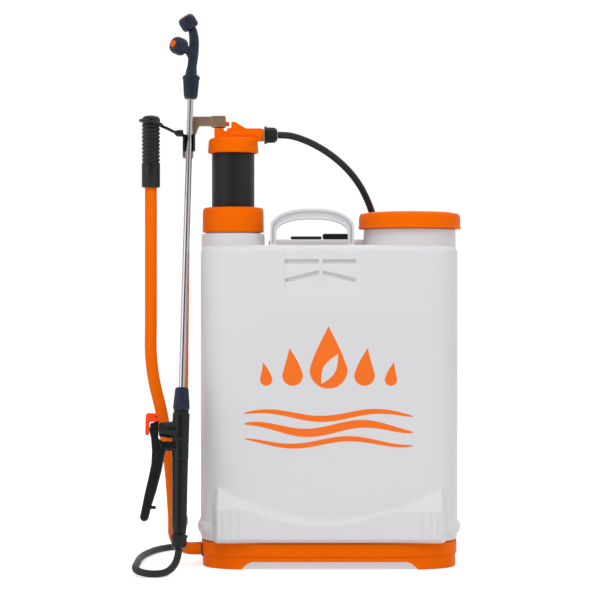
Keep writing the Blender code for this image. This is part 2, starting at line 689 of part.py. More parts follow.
def make_bracket(pump):
    """Cast elbow on the cap's post, with a forked leg for the rod, and the open lance clip on that leg."""
    foot = POST_TOP + GAP
    rod_x = ROD_X - PUMP_X
    half = 6 * MM
    fork_half = 6.5 * MM
    fork_low, fork_high = ROD_TOP_Z - 8 * MM, ROD_TOP_Z + 16 * MM
    arm_low = BRACKET_TOP - 13 * MM
    block = rounded(box((-27.6 * MM, -8 * MM, foot), (-9 * MM, 8 * MM, BRACKET_TOP)), 1.5 * MM)
    outline = [(-22 * MM, arm_low), (-22 * MM, BRACKET_TOP - MM), (rod_x + 2 * MM, BRACKET_TOP - MM),
               (rod_x - MM, BRACKET_TOP - 4 * MM), (rod_x - MM, fork_high),
               (rod_x - fork_half, fork_high - 3 * MM),
               (rod_x - fork_half, fork_low), (rod_x + fork_half, fork_low),
               (rod_x + fork_half + MM, fork_high), (rod_x + 14 * MM, arm_low)]
    arm = plate(outline, -half, half, "XZ")
    bracket = join(block, arm)
    cheek = EYE_THICK / 2 + GAP
    slot = box((rod_x - cheek, -half - MM, fork_low - MM), (rod_x + cheek, half + MM, ROD_TOP_Z + 9 * MM))
    pin_radius = 2 * MM
    pin_hole = along_x(disc(pin_radius + GAP, rod_x - 9 * MM, rod_x + 9 * MM, 14), (0, 0, ROD_TOP_Z))
    screw_z = BRACKET_TOP - 10 * MM
    screw_hole = along_x(disc(pin_radius + GAP, -24 * MM, -8 * MM, 14), (0, 0, screw_z))
    bracket = cut(bracket, slot, pin_hole, screw_hole)
    keep(bracket, "elbow_bracket", CAST, pump)
    head = -9 * MM + GAP
    screw = turn([(0, -24 * MM + GAP), (pin_radius, -24 * MM + GAP), (pin_radius, head), (3 * MM, head),
                  (3 * MM, head + 3 * MM), (2 * MM, head + 4 * MM), (0, head + 4 * MM)], False, 14)
    keep(along_x(screw, (0, 0, screw_z)), "bracket_screw", ORANGE, pump)
    pin = disc(pin_radius, rod_x - fork_half, rod_x + fork_half, 14)
    keep(along_x(pin, (0, 0, ROD_TOP_Z)), "rod_pin", STEEL, pump)
    clip_low, clip_high = ROD_TOP_Z, ROD_TOP_Z + 21 * MM
    back = -half - GAP
    front = -22 * MM
    plate_front = back - 5.5 * MM
    share = (clip_low + clip_high - 2 * WAND_SEAT.z) / (WAND_AIM.z - WAND_SEAT.z) / 2
    middle = WAND_SEAT.lerp(WAND_AIM, share).x - PUMP_X
    left, right = middle - 7.9 * MM, middle + 7.1 * MM
    clip = box((left, plate_front, clip_low), (right, back, clip_high))
    left_jaw = box((left, front, clip_low), (left + 2.5 * MM, plate_front + MM, clip_high))
    right_jaw = box((right - 2.2 * MM, front, clip_low), (right, plate_front + MM, clip_high))
    keep(rounded(join(clip, left_jaw, right_jaw), 0.6 * MM, 1), "lance_clip", BLACK, pump)


def make_rod(rod_body):
    """Connecting rod with a plain eye at the bracket and a slotted eye round the crank pin."""
    origin = Vector((ROD_X, 0, ROD_TOP_Z))
    sag = crank_sag()
    top = Vector((0, ROD_TOP_Z))
    eye = crank_point(0) + sag / 2
    half = EYE_THICK / 2
    low, high = ROD_FOOT_X - half, ROD_FOOT_X + half
    run = (eye - top).normalized()
    top_tab = capsule(top, top + 18 * MM * run, 5.5 * MM, ROD_RADIUS, ROD_X - half, ROD_X + half)
    low_tab = capsule(eye, eye - 22 * MM * run, EYE_RADIUS, ROD_RADIUS, low, high)
    start = top + 12 * MM * run
    end = eye - 14 * MM * run
    bar = tube([(ROD_X, *start), (ROD_FOOT_X, *end)], ROD_RADIUS)
    rod = join(bar, top_tab, low_tab)
    play = 0.8 * MM
    reach = Vector((abs(sag.x) / 2, 0))
    slot = capsule(eye - reach, eye + reach, CRANK_PIN_RADIUS + sag.y / 2 + play,
                   CRANK_PIN_RADIUS + sag.y / 2 + play, low - MM, high + MM)
    hole = along_x(disc(2 * MM + GAP, ROD_X - half - MM, ROD_X + half + MM, 14), (0, 0, ROD_TOP_Z))
    keep(at(cut(rod, slot, hole), origin), "connecting_rod", PAINT, rod_body)


def make_lever(lever):
    """Bent lever tube with its grip, crank and retaining strap."""
    origin = lever.location
    rise = [(BEND_START - BEND_RADIUS * math.sin(a), LEVER_Y, LEVER_Z + BEND_RADIUS * (1 - math.cos(a)))
            for a in (math.radians(15 * step) for step in range(7))]
    sweep = smooth([(BEND_START - BEND_RADIUS, LEVER_Y, 60 * MM), (GRIP_X + 23.6 * MM, LEVER_Y, 122 * MM),
                    (GRIP_X + 13.9 * MM, LEVER_Y, 184 * MM), (GRIP_X + 3.9 * MM, LEVER_Y, 228 * MM),
                    (GRIP_X, LEVER_Y, 262 * MM), (GRIP_X, LEVER_Y, 300 * MM)], 3)
    tube_top = GRIP_TOP - 6 * MM
    run = [(SHAFT_END, LEVER_Y, LEVER_Z)] + rise + sweep + [(GRIP_X, LEVER_Y, tube_top)]
    bore = [(SHAFT_END + MM, LEVER_Y, LEVER_Z)] + rise + sweep + [(GRIP_X, LEVER_Y, tube_top + MM)]
    lever_tube = cut(tube(run, TUBE_RADIUS, 3), tube(bore, TUBE_RADIUS - 1.4 * MM, 1))
    keep(at(lever_tube, origin), "lever_tube", PAINT, lever)

    inner = TUBE_RADIUS + GAP
    outer = GRIP_RADIUS
    profile = [(0, GRIP_TOP), (outer * 0.6, GRIP_TOP - 1.2 * MM), (outer * 0.95, GRIP_TOP - 5 * MM)]
    pitch = 4.7 * MM
    for ring_number in range(10):
        height = GRIP_TOP - 11 * MM - pitch * ring_number
        profile += [(outer, height), (outer - 1.1 * MM, height - pitch * 0.55)]
    profile += [(outer, GRIP_TOP - 60 * MM), (outer, GRIP_BOTTOM), (inner, GRIP_BOTTOM),
                (inner, tube_top + GAP), (0, tube_top + GAP)]
    grip = place(turn(profile, False, 18), (GRIP_X, LEVER_Y, 0))
    keep(at(grip, origin), "lever_grip", BLACK, lever)

    shaft = Vector((LEVER_Y, LEVER_Z))
    pin = crank_point(0)
    low, high = CRANK_X - CRANK_THICK / 2, CRANK_X + CRANK_THICK / 2
    root = Vector((LEVER_Y + 2 * MM, pin.y))
    crank = capsule(root, pin, 6 * MM, CRANK_PIN_RADIUS + 4 * MM, low, high)
    seat = place(disc(inner, pin.y - 12 * MM, pin.y + 12 * MM), (CRANK_X, LEVER_Y, 0))
    crank = cut(crank, seat, along_x(disc(CRANK_PIN_RADIUS + GAP, low - MM, high + MM, 16), (0, *pin)))
    keep(at(crank, origin), "crank_arm", STEEL, lever)
    rod_right = ROD_FOOT_X + EYE_THICK / 2
    head = CRANK_PIN_RADIUS + 3 * MM
    bolt = turn([(0, low), (CRANK_PIN_RADIUS, low), (CRANK_PIN_RADIUS, rod_right + GAP),
                 (head, rod_right + GAP), (head, rod_right + 2 * MM), (0, rod_right + 2 * MM)], False, 16)
    keep(at(along_x(bolt, (0, *pin)), origin), "crank_pin", STEEL, lever)
    stop = SHAFT_END - 10 * MM + GAP
    clip = along_x(ring(inner + BUSH_WALL, inner, stop, stop + 2 * MM), (0, *shaft))
    keep(at(clip, origin), "shaft_ring", STEEL, lever)

    wire = 1.7 * MM
    loop_z = GRIP_TOP - 9 * MM
    loop_radius = GRIP_RADIUS + wire + GAP
    loop = ring(loop_radius + wire, GRIP_RADIUS + GAP, loop_z - 1.6 * MM, loop_z + 1.6 * MM, 20)
    loop = place(loop, (GRIP_X, LEVER_Y, 0))
    side = GRIP_X + loop_radius
    tail = tube(smooth([(side - 0.6 * MM, LEVER_Y, loop_z),
                        (side + 8 * MM, LEVER_Y + 3 * MM, loop_z - 4 * MM),
                        (side + 17 * MM, LEVER_Y + 8 * MM, loop_z - 10 * MM)], 3), wire, 2)
    end_x = side + 16 * MM
    fitting = turn([(0, 9 * MM), (4.4 * MM, 9 * MM), (4.4 * MM, 4 * MM), (2.2 * MM, 0), (0, 0)], False, 12)
    fitting = along_x(fitting, (end_x, LEVER_Y + 8 * MM, loop_z - 10 * MM))
    keep(at(join(loop, tail, fitting), origin), "retaining_strap", RUBBER, lever)


def make_lance(wand, cap_bodies):
    """Lance tube, its gland nuts, the twin nozzle body, and the two nozzle caps with their tips."""
    bore = LANCE_RADIUS + GAP
    seat = WAND_GRIP_TOP + GAP
    lance = ring(LANCE_RADIUS, LANCE_RADIUS - 0.8 * MM, seat + 2 * MM, LANCE_TOP, 18)
    keep(lance, "lance_tube", CHROME, wand)
    lower = turn([(8 * MM, 1.5 * MM), (8.4 * MM, 0), (10.2 * MM, -22 * MM), (10.2 * MM, seat), (bore, seat),
                  (bore, 1.5 * MM)], True, 24)
    keep(lower, "lance_lower_nut", NAVY, wand)
    nut_low, nut_high = LANCE_TOP - 14 * MM, LANCE_TOP + 15 * MM
    tail = 5 * MM
    upper = turn([(10.8 * MM, nut_high), (10.8 * MM, LANCE_TOP - MM), (7.8 * MM, nut_low), (bore, nut_low),
                  (bore, LANCE_TOP + MM), (tail + GAP, LANCE_TOP + MM), (tail + GAP, nut_high)], True, 24)
    keep(upper, "lance_upper_nut", NAVY, wand)

    stem_low = nut_high + GAP
    stem = tube(smooth([(0, 0, stem_low), (0, 0, stem_low + 5 * MM), (1.6 * MM, 0, stem_low + 22 * MM),
                        (2.4 * MM, 0, stem_low + 44 * MM),
                        (-0.9 * MM, 0, stem_low + 61.3 * MM)], 3), 6 * MM, 3)
    spigot = disc(tail, LANCE_TOP + 1.5 * MM, stem_low + 2 * MM, 16)
    body = join(stem, spigot)
    length = 15 * MM
    places = {"upper": (Vector((-5.2, -1, 463.5)) * MM, Vector((-0.54, -0.355, 0.766)).normalized()),
              "lower": (Vector((-17.1, -14.9, 429.6)) * MM, Vector((-0.78, -0.61, 0.145)).normalized())}
    lower_middle, lower_axis = places["lower"]
    branch_end = lower_middle - (length / 2 + GAP) * lower_axis
    body = join(body, tube([(2 * MM, 0, stem_low + 28 * MM), branch_end], 5.5 * MM, 3))
    for middle, axis in places.values():
        lean = Vector((0, 0, 1)).rotation_difference(axis).to_matrix().to_4x4()
        room = disc(11 * MM, -length / 2 - GAP, length, 20)
        room.data.transform(Matrix.Translation(middle) @ lean)
        body = cut(body, room)
    keep(body, "nozzle_body", NAVY, wand)
    for side, cap_body in cap_bodies.items():
        middle, axis = places[side]
        cap_body.location = middle
        cap_body.rotation_mode = "QUATERNION"
        cap_body.rotation_quaternion = Vector((0, 0, 1)).rotation_difference(axis)
        half = length / 2
        hole = 5 * MM
        cap = turn([(7.5 * MM, half), (10.2 * MM, half - 3 * MM), (10.2 * MM, -half + MM), (9.2 * MM, -half),
                    (hole, -half), (hole, half)], True, 20)
        keep(cap, "nozzle_cap_" + side, NAVY, cap_body)
        jet = 0.8 * MM
        tip = turn([(3.6 * MM, half + 1.5 * MM), (hole - GAP, half - MM), (hole - GAP, -half + MM),
                    (jet, -half + MM), (jet, half + 1.5 * MM)], True, 16)
        keep(tip, "nozzle_tip_" + side, ORANGE, cap_body)


def make_trigger_grip(wand, trigger, stem_body, lock):
    """Trigger grip with its valve: body, trigger, stem, spring, lock, pins and hose nut."""
    radius = WAND_GRIP_RADIUS
    body = turn([(0, WAND_GRIP_TOP), (radius, WAND_GRIP_TOP), (radius, -60 * MM),
                 (radius - 0.8 * MM, -100 * MM),
                 (radius - 0.3 * MM, -145 * MM), (radius - 2 * MM, WAND_GRIP_BOTTOM), (0, WAND_GRIP_BOTTOM)],
                False, 24)
    boss = along_x(disc(BOSS_RADIUS, BOSS_END, 0, 24), (0, 0, VALVE_Z))
    pivot_x, pivot_z = TRIGGER_PIVOT
    ear_in = TRIGGER_HALF + 0.6 * MM
    ears = []
    for side in (-1, 1):
        low, high = sorted((side * ear_in, side * (ear_in + 2.6 * MM)))
        ear = box((pivot_x - 5 * MM, low, pivot_z - 5 * MM), (0, high, pivot_z + 5 * MM))
        ears.append(rounded(ear, 0.8 * MM, 1))
    body = join(body, boss, *ears)
    chamber_start = BOSS_END + 4.5 * MM
    chamber = along_x(disc(6 * MM, chamber_start, 4 * MM, 18), (0, 0, VALVE_Z))
    throat = along_x(disc(STEM_RADIUS + GAP, BOSS_END - MM, chamber_start + MM, 14), (0, 0, VALVE_Z))
    pin_radius = 1.8 * MM
    pin_reach = ear_in + 2.6 * MM
    pin_hole = along_y(disc(pin_radius + GAP, -pin_reach - MM, pin_reach + MM, 14), (pivot_x, 0, pivot_z))
    inlet = disc(3 * MM, WAND_GRIP_BOTTOM - MM, VALVE_Z, 12)
    outlet = disc(3 * MM, VALVE_Z, WAND_GRIP_TOP + MM, 12)
    body = cut(body, chamber, throat, pin_hole, inlet, outlet)
    keep(body, "grip_body", BLACK, wand)
    pin = along_y(disc(pin_radius, -pin_reach, pin_reach, 14), (pivot_x, 0, pivot_z))
    keep(pin, "trigger_pin", STEEL, wand)
    make_trigger(trigger, pin_radius)
    make_lock(lock)

    head = BOSS_END - 10.6 * MM
    stem = turn([(0, 0), (4.4 * MM, 0), (4.4 * MM, -3 * MM), (STEM_RADIUS, -3 * MM), (STEM_RADIUS, head),
                 (4.2 * MM, head), (4.2 * MM, head - 3 * MM), (0, head - 3 * MM)], False, 14)
    keep(along_x(stem), "valve_stem", STEEL, stem_body)
    keep(spring_coil(chamber_start + MM, -4.2 * MM, 3.8 * MM, 0.55 * MM, 5), "valve_spring", STEEL, wand)
    top = WAND_GRIP_BOTTOM - GAP
    bore = HOSE_RADIUS - 1.5 * MM
    nut = turn([(10.4 * MM, top), (10.4 * MM, top - 3 * MM), (9.6 * MM, top - 3.5 * MM),
                (8.6 * MM, top - HOSE_NUT_LENGTH + 2 * MM), (6.6 * MM, top - HOSE_NUT_LENGTH),
                (bore, top - HOSE_NUT_LENGTH), (bore, top)], True, 20)
    keep(nut, "grip_hose_nut", BLACK, wand)


def spring_coil(low, high, radius, wire, turns):
    """Return an open coil round the valve stem."""
    steps = 10
    points = []
    for step in range(turns * steps + 1):
        angle = 2 * math.pi * step / steps
        along = low + wire + (high - low - 2 * wire) * step / (turns * steps)
        points.append((along, radius * math.cos(angle), VALVE_Z + radius * math.sin(angle)))
    return tube(points, wire, 0)


def make_trigger(trigger, pin_radius):
    """Squeeze trigger, forked round the valve stem, with an ear for the lock."""
    pivot_x, pivot_z = TRIGGER_PIVOT
    edge = BOSS_END - 0.8 * MM
    outline = [(-36 * MM, -42.3 * MM), (edge, -42.3 * MM), (edge, -60 * MM), (-19 * MM, -63.8 * MM)]
    outline += arc((pivot_x, pivot_z), 5 * MM, 60, -90, 6)
    outline += [(-25 * MM, -78 * MM), (-30 * MM, -100 * MM), (-36.5 * MM, -150 * MM), (-39 * MM, -156 * MM),
                (-45 * MM, -156.5 * MM), (-47.5 * MM, -151 * MM), (-43 * MM, -118 * MM), (-38 * MM, -85 * MM),
                (-36.3 * MM, -60 * MM)]
    body = plate(outline, -TRIGGER_HALF, TRIGGER_HALF, "XZ")
    lock_x, lock_z = LOCK_PIVOT
    fork = STEM_RADIUS + 0.7 * MM
    ear = box((lock_x - 3.6 * MM, fork + GAP, -46 * MM),
              (edge - 0.2 * MM, TRIGGER_HALF - 0.4 * MM, lock_z + 4 * MM))
    peg = along_x(disc(2 * MM, -38 * MM, -28 * MM, 12), (0, 0, -140 * MM))
    body = join(body, ear, peg)
    slot = box((-50 * MM, -fork, -58 * MM), (edge + 5 * MM, fork, -46.4 * MM))
    open_top = box((-50 * MM, -fork, -50 * MM), (edge + 5 * MM, fork, -40 * MM))
    pin_hole = along_y(disc(pin_radius + GAP, -9 * MM, 9 * MM, 14), (pivot_x, 0, pivot_z))
    lock_hole = along_y(disc(1.5 * MM + GAP, -9 * MM, 9 * MM, 12), (lock_x, 0, lock_z))
    body = cut(body, slot, open_top, pin_hole, lock_hole)
    keep(at(body, (pivot_x, 0, pivot_z)), "trigger", BLACK, trigger)


def make_lock(lock):
    """Inverted L that swings on the trigger's ear and hooks down in front of it."""
    lock_x, lock_z = LOCK_PIVOT
    radius = 5.5 * MM
    left = -39.4 * MM
    lowest = 38
    block_low = lock_z - radius * math.sin(math.radians(lowest))
    block_line = [(left, block_low)] + arc((lock_x, lock_z), radius, -lowest, 90, 8)
    block_line.append((left, lock_z + radius))
    hook_line = [(left - 2.6 * MM, -56.4 * MM), (left + 2 * MM, -56.4 * MM), (left + 2 * MM, lock_z - radius)]
    hook_line += arc((lock_x, lock_z), radius, -90, 90, 8) + [(left - 2.6 * MM, lock_z + radius)]
    front, middle, back = -11 * MM, -TRIGGER_HALF - 0.4 * MM, 0.0
    body = join(plate(hook_line, front, middle, "XZ"), plate(block_line, middle - 0.2 * MM, back, "XZ"))
    hole = along_y(disc(1.5 * MM + GAP, -9 * MM, 15 * MM, 12), (lock_x, 0, lock_z))
    keep(at(cut(body, hole), (lock_x, 0, lock_z)), "trigger_lock", RED, lock)
    pin = along_y(disc(1.5 * MM, -TRIGGER_HALF, -front, 12), (lock_x, 0, lock_z))
    keep(at(pin, (lock_x, 0, lock_z)), "lock_pin", STEEL, lock)


def back_at(across, inset):
    """Return the depth of the tank's back at a given place across it."""
    reach = (1 - (abs(across) / (TANK_WIDTH / 2 - inset)) ** 4.2) ** (1 / 4.2)
    along = (TANK_DEPTH / 2 - inset) * reach
    hollow = min(1.0, abs(across) / (0.85 * (TANK_WIDTH / 2 - inset)))
    return along - BACK_HOLLOW * 0.5 * (1 + math.cos(math.pi * hollow)) * reach


def make_straps(root):
    """Two webbing shoulder straps with buckles on the rear ridge and hooks on the base."""
    foot_y = back_at(STRAP_FOOT_X, BASE_INSET) + 10 * MM
    top_z = RIDGE_TOP + 3 * MM
    start = BACK - RIDGE_IN - 3.3 * MM
    drop = [(start, top_z), (start + 9.3 * MM, top_z - 4 * MM), (BACK + MM, top_z - 29 * MM),
            (BACK + 21 * MM, top_z - 87 * MM), (BACK + 34 * MM, top_z - 167 * MM), (BACK + 30 * MM, 150 * MM),
            (BACK + 16 * MM, 80 * MM), (foot_y + 4 * MM, 42 * MM), (foot_y + 2 * MM, 28 * MM),
            (foot_y + 2 * MM, 14 * MM)]
    line = smooth([(along, up, 0) for along, up in drop], 3)
    outline = offset(line, STRAP_THICK / 2) + offset(line, -STRAP_THICK / 2)[::-1]
    for name, side, height in (("left", -1, 3.6 * MM), ("right", 1, 7 * MM)):
        strap = across_x(plate(outline, -STRAP_WIDTH / 2, STRAP_WIDTH / 2))
        middle = STRAP_MID_X + side * STRAP_TOP_X
        foot = side * STRAP_FOOT_X
        for vert in strap.data.vertices:
            share = (top_z - vert.co.z) / (top_z - 14 * MM)
            vert.co.x += middle + (foot - middle) * max(0.0, share)
        keep(strap, "shoulder_strap_" + name, WEBBING, root)
        low = RIDGE_TOP + GAP
        half = STRAP_WIDTH / 2 + MM
        buckle = box((middle - half, start - 20.7 * MM, low), (middle + half, start - 0.4 * MM, low + height))
        keep(rounded(buckle, 1.2 * MM, 1), "strap_buckle_" + name, BLACK, root)
        deep = max(back_at(STRAP_FOOT_X + reach, BASE_INSET) for reach in (-10 * MM, 10 * MM)) + GAP
        hook = box((foot - 10 * MM, deep, 17 * MM), (foot + 10 * MM, foot_y, 27 * MM))
        keep(rounded(hook, 1.2 * MM, 1), "strap_hook_" + name, BLACK, root)


def offset(line, distance):
    """Return a line set off sideways by a distance."""
    made = []
    for index, point in enumerate(line):
        before = line[max(index - 1, 0)]
        after = line[min(index + 1, len(line) - 1)]
        run = (after - before).normalized()
        made.append((point.x - run.y * distance, point.y + run.x * distance))
    return made


def make_hose(root, wand):
    """Delivery hose from the cap over the back of the tank, along the floor and up to the trigger grip."""
    start = SPOUT_END + 2 * GAP + 16.5 * MM
    grip_end = Vector((0, 0, WAND_GRIP_BOTTOM - 2 * GAP - HOSE_NUT_LENGTH))
    out = wand.rotation_quaternion.to_matrix() @ Vector((0, 0, -1))
    finish = wand.location + wand.rotation_quaternion.to_matrix() @ grip_end
    floor = HOSE_RADIUS + GAP
    route = [(start, 0, SPOUT_Z), (start + 10 * MM, 0.5 * MM, SPOUT_Z - 0.2 * MM),
             (-43 * MM, 3 * MM, 530.5 * MM), (-21 * MM, 9 * MM, 523 * MM), (4 * MM, 19 * MM, 509 * MM),
             (27 * MM, 31 * MM, 489 * MM), (44 * MM, 44 * MM, 466 * MM), (57 * MM, 62 * MM, 437 * MM),
             (66 * MM, 80 * MM, 405 * MM), (72 * MM, 92 * MM, 365 * MM), (75 * MM, 97 * MM, 300 * MM),
             (73 * MM, 98 * MM, 200 * MM), (64 * MM, 102 * MM, 110 * MM), (50 * MM, 109 * MM, 55 * MM),
             (26 * MM, 119 * MM, 20 * MM), (-10 * MM, 127 * MM, floor + 2 * MM), (-50 * MM, 132 * MM, floor),
             (-105 * MM, 138 * MM, floor), (-155 * MM, 138 * MM, floor), (-194 * MM, 124 * MM, floor),
             (-222 * MM, 92 * MM, floor), (-237 * MM, 45 * MM, floor), (-242 * MM, -10 * MM, floor),
             (-241 * MM, -65 * MM, floor), (-234 * MM, -110 * MM, floor),
             (-219 * MM, -135 * MM, floor + 0.2 * MM),
             (-202 * MM, -137 * MM, floor + 3 * MM), (-189 * MM, -127 * MM, floor + 12 * MM)]
    route += [finish + 8 * MM * out, finish]
    points = smooth(route, 2)
    points[-2] = points[-1] + 2 * MM * out
    keep(tube(points, HOSE_RADIUS, 2), "hose", HOSE_STUFF, root)


def main():
    """Build every piece under the empty that carries it."""
    root = empty("sprayer", (-CENTRE_X, 0, 0))
    pump = empty("pump_body", (PUMP_X, 0, 0), root)
    ring_body = empty("ring_nut_body", (PUMP_X, 0, 0), root)
    lift_body = empty("lid_lift_body", (FILLER_X, 0, 0), root)
    lid_body = empty("lid_body", (0, 0, 0), lift_body)
    rod_body = empty("rod_body", (ROD_X - PUMP_X, 0, ROD_TOP_Z), pump)
    lever = empty("lever_body", (BEND_START, LEVER_Y, LEVER_Z), root)
    aim = Vector((0, 0, 1)).rotation_difference((WAND_AIM - WAND_SEAT).normalized())
    wand = empty("wand", WAND_SEAT, root, aim)
    trigger = empty("trigger_body", (TRIGGER_PIVOT[0], 0, TRIGGER_PIVOT[1]), wand)
    lock_at = (LOCK_PIVOT[0] - TRIGGER_PIVOT[0], 0, LOCK_PIVOT[1] - TRIGGER_PIVOT[1])
    lock = empty("lock_body", lock_at, trigger)
    stem_body = empty("stem_body", (-1 * MM, 0, VALVE_Z), wand)
    cap_bodies = {side: empty("nozzle_body_" + side, (0, 0, 0), wand) for side in ("upper", "lower")}
    make_tank(root)
    make_base(root)
    make_handle(root)
    make_filler(root, lid_body, lift_body)
    make_pump(root, ring_body, pump)
    make_bracket(pump)
    make_rod(rod_body)
    make_lever(lever)
    make_lance(wand, cap_bodies)
    make_trigger_grip(wand, trigger, stem_body, lock)
    make_straps(root)
    make_hose(root, wand)


main()
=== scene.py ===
"""Looks of a lever-operated backpack sprayer: finishes, fine meshes, hose, straps, studio and camera.

Lengths are in metres. X is measured from the tank's middle while a piece is drawn, and every piece is
shifted by SHIFT at the end, because the model's own middle lies to the left of the tank's.
"""
from __future__ import annotations

import json
import logging
import math
from collections.abc import Callable, Sequence
from dataclasses import dataclass
from enum import Enum

import bmesh
import bpy
import numpy as np
from mathutils import Matrix, Vector

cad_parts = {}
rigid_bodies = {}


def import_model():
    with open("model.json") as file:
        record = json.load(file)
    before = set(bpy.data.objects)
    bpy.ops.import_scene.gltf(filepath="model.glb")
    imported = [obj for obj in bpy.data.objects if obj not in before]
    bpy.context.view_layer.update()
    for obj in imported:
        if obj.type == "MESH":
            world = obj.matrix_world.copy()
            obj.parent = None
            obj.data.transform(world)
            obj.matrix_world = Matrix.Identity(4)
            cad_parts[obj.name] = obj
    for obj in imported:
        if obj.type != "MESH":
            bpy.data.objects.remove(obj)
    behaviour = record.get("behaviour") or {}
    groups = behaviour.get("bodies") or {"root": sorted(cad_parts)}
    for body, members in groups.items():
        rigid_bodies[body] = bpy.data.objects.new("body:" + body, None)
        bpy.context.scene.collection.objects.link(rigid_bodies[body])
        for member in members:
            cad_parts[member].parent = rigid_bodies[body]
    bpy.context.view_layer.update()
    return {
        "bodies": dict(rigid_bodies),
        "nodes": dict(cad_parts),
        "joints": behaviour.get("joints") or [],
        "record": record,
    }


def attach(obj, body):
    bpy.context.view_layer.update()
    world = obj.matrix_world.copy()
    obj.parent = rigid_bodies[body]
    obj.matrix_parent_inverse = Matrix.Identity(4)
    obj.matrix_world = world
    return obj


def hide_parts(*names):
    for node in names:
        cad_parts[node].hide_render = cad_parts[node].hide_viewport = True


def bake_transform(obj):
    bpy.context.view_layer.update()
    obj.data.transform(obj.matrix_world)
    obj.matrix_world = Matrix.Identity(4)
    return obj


log = logging.getLogger("sprayer")

MM = 0.001
SHIFT = Matrix.Translation((35.5 * MM, 0, 0))
GRAIN_DEPTH = 0.4 * MM
SHARP_FROM = 0.515
SHARP_GAIN = 9.0
WEBBING_SHEEN = 0.3
Point2 = tuple[float, float]
Point3 = tuple[float, float, float]
Shape = Callable[[float, float, float], float]
Piece = bpy.types.Object
Tree = bpy.types.NodeTree


class Surface(Enum):
    """Kinds of surface that a finish can have."""

    MOULDED = "moulded plastic"
    SOFT = "soft rubber"
    PAINTED = "painted steel"
    DRAWN = "drawn metal"
    CAST = "cast metal"
    WOVEN = "woven webbing"


class Socket(Enum):
    """Kinds of socket that a node group can have."""

    COLOUR = "NodeSocketColor"
    VALUE = "NodeSocketFloat"


class Effect(Enum):
    """Shared shader node groups."""

    GRAIN = "moulded grain"
    EDGES = "edge wear"
    DRAWN = "drawn lines"
    WEAVE = "webbing weave"


def linear(code: str) -> tuple[float, float, float, float]:
    """Turn a written colour into linear light.

    Args:
        code: six hexadecimal digits after a hash sign.

    Returns:
        Red, green, blue and alpha.
    """
    parts = [int(code[place:place + 2], 16) / 255 for place in (1, 3, 5)]
    light = [part / 12.92 if part <= 0.04045 else ((part + 0.055) / 1.055) ** 2.4 for part in parts]
    return (light[0], light[1], light[2], 1.0)


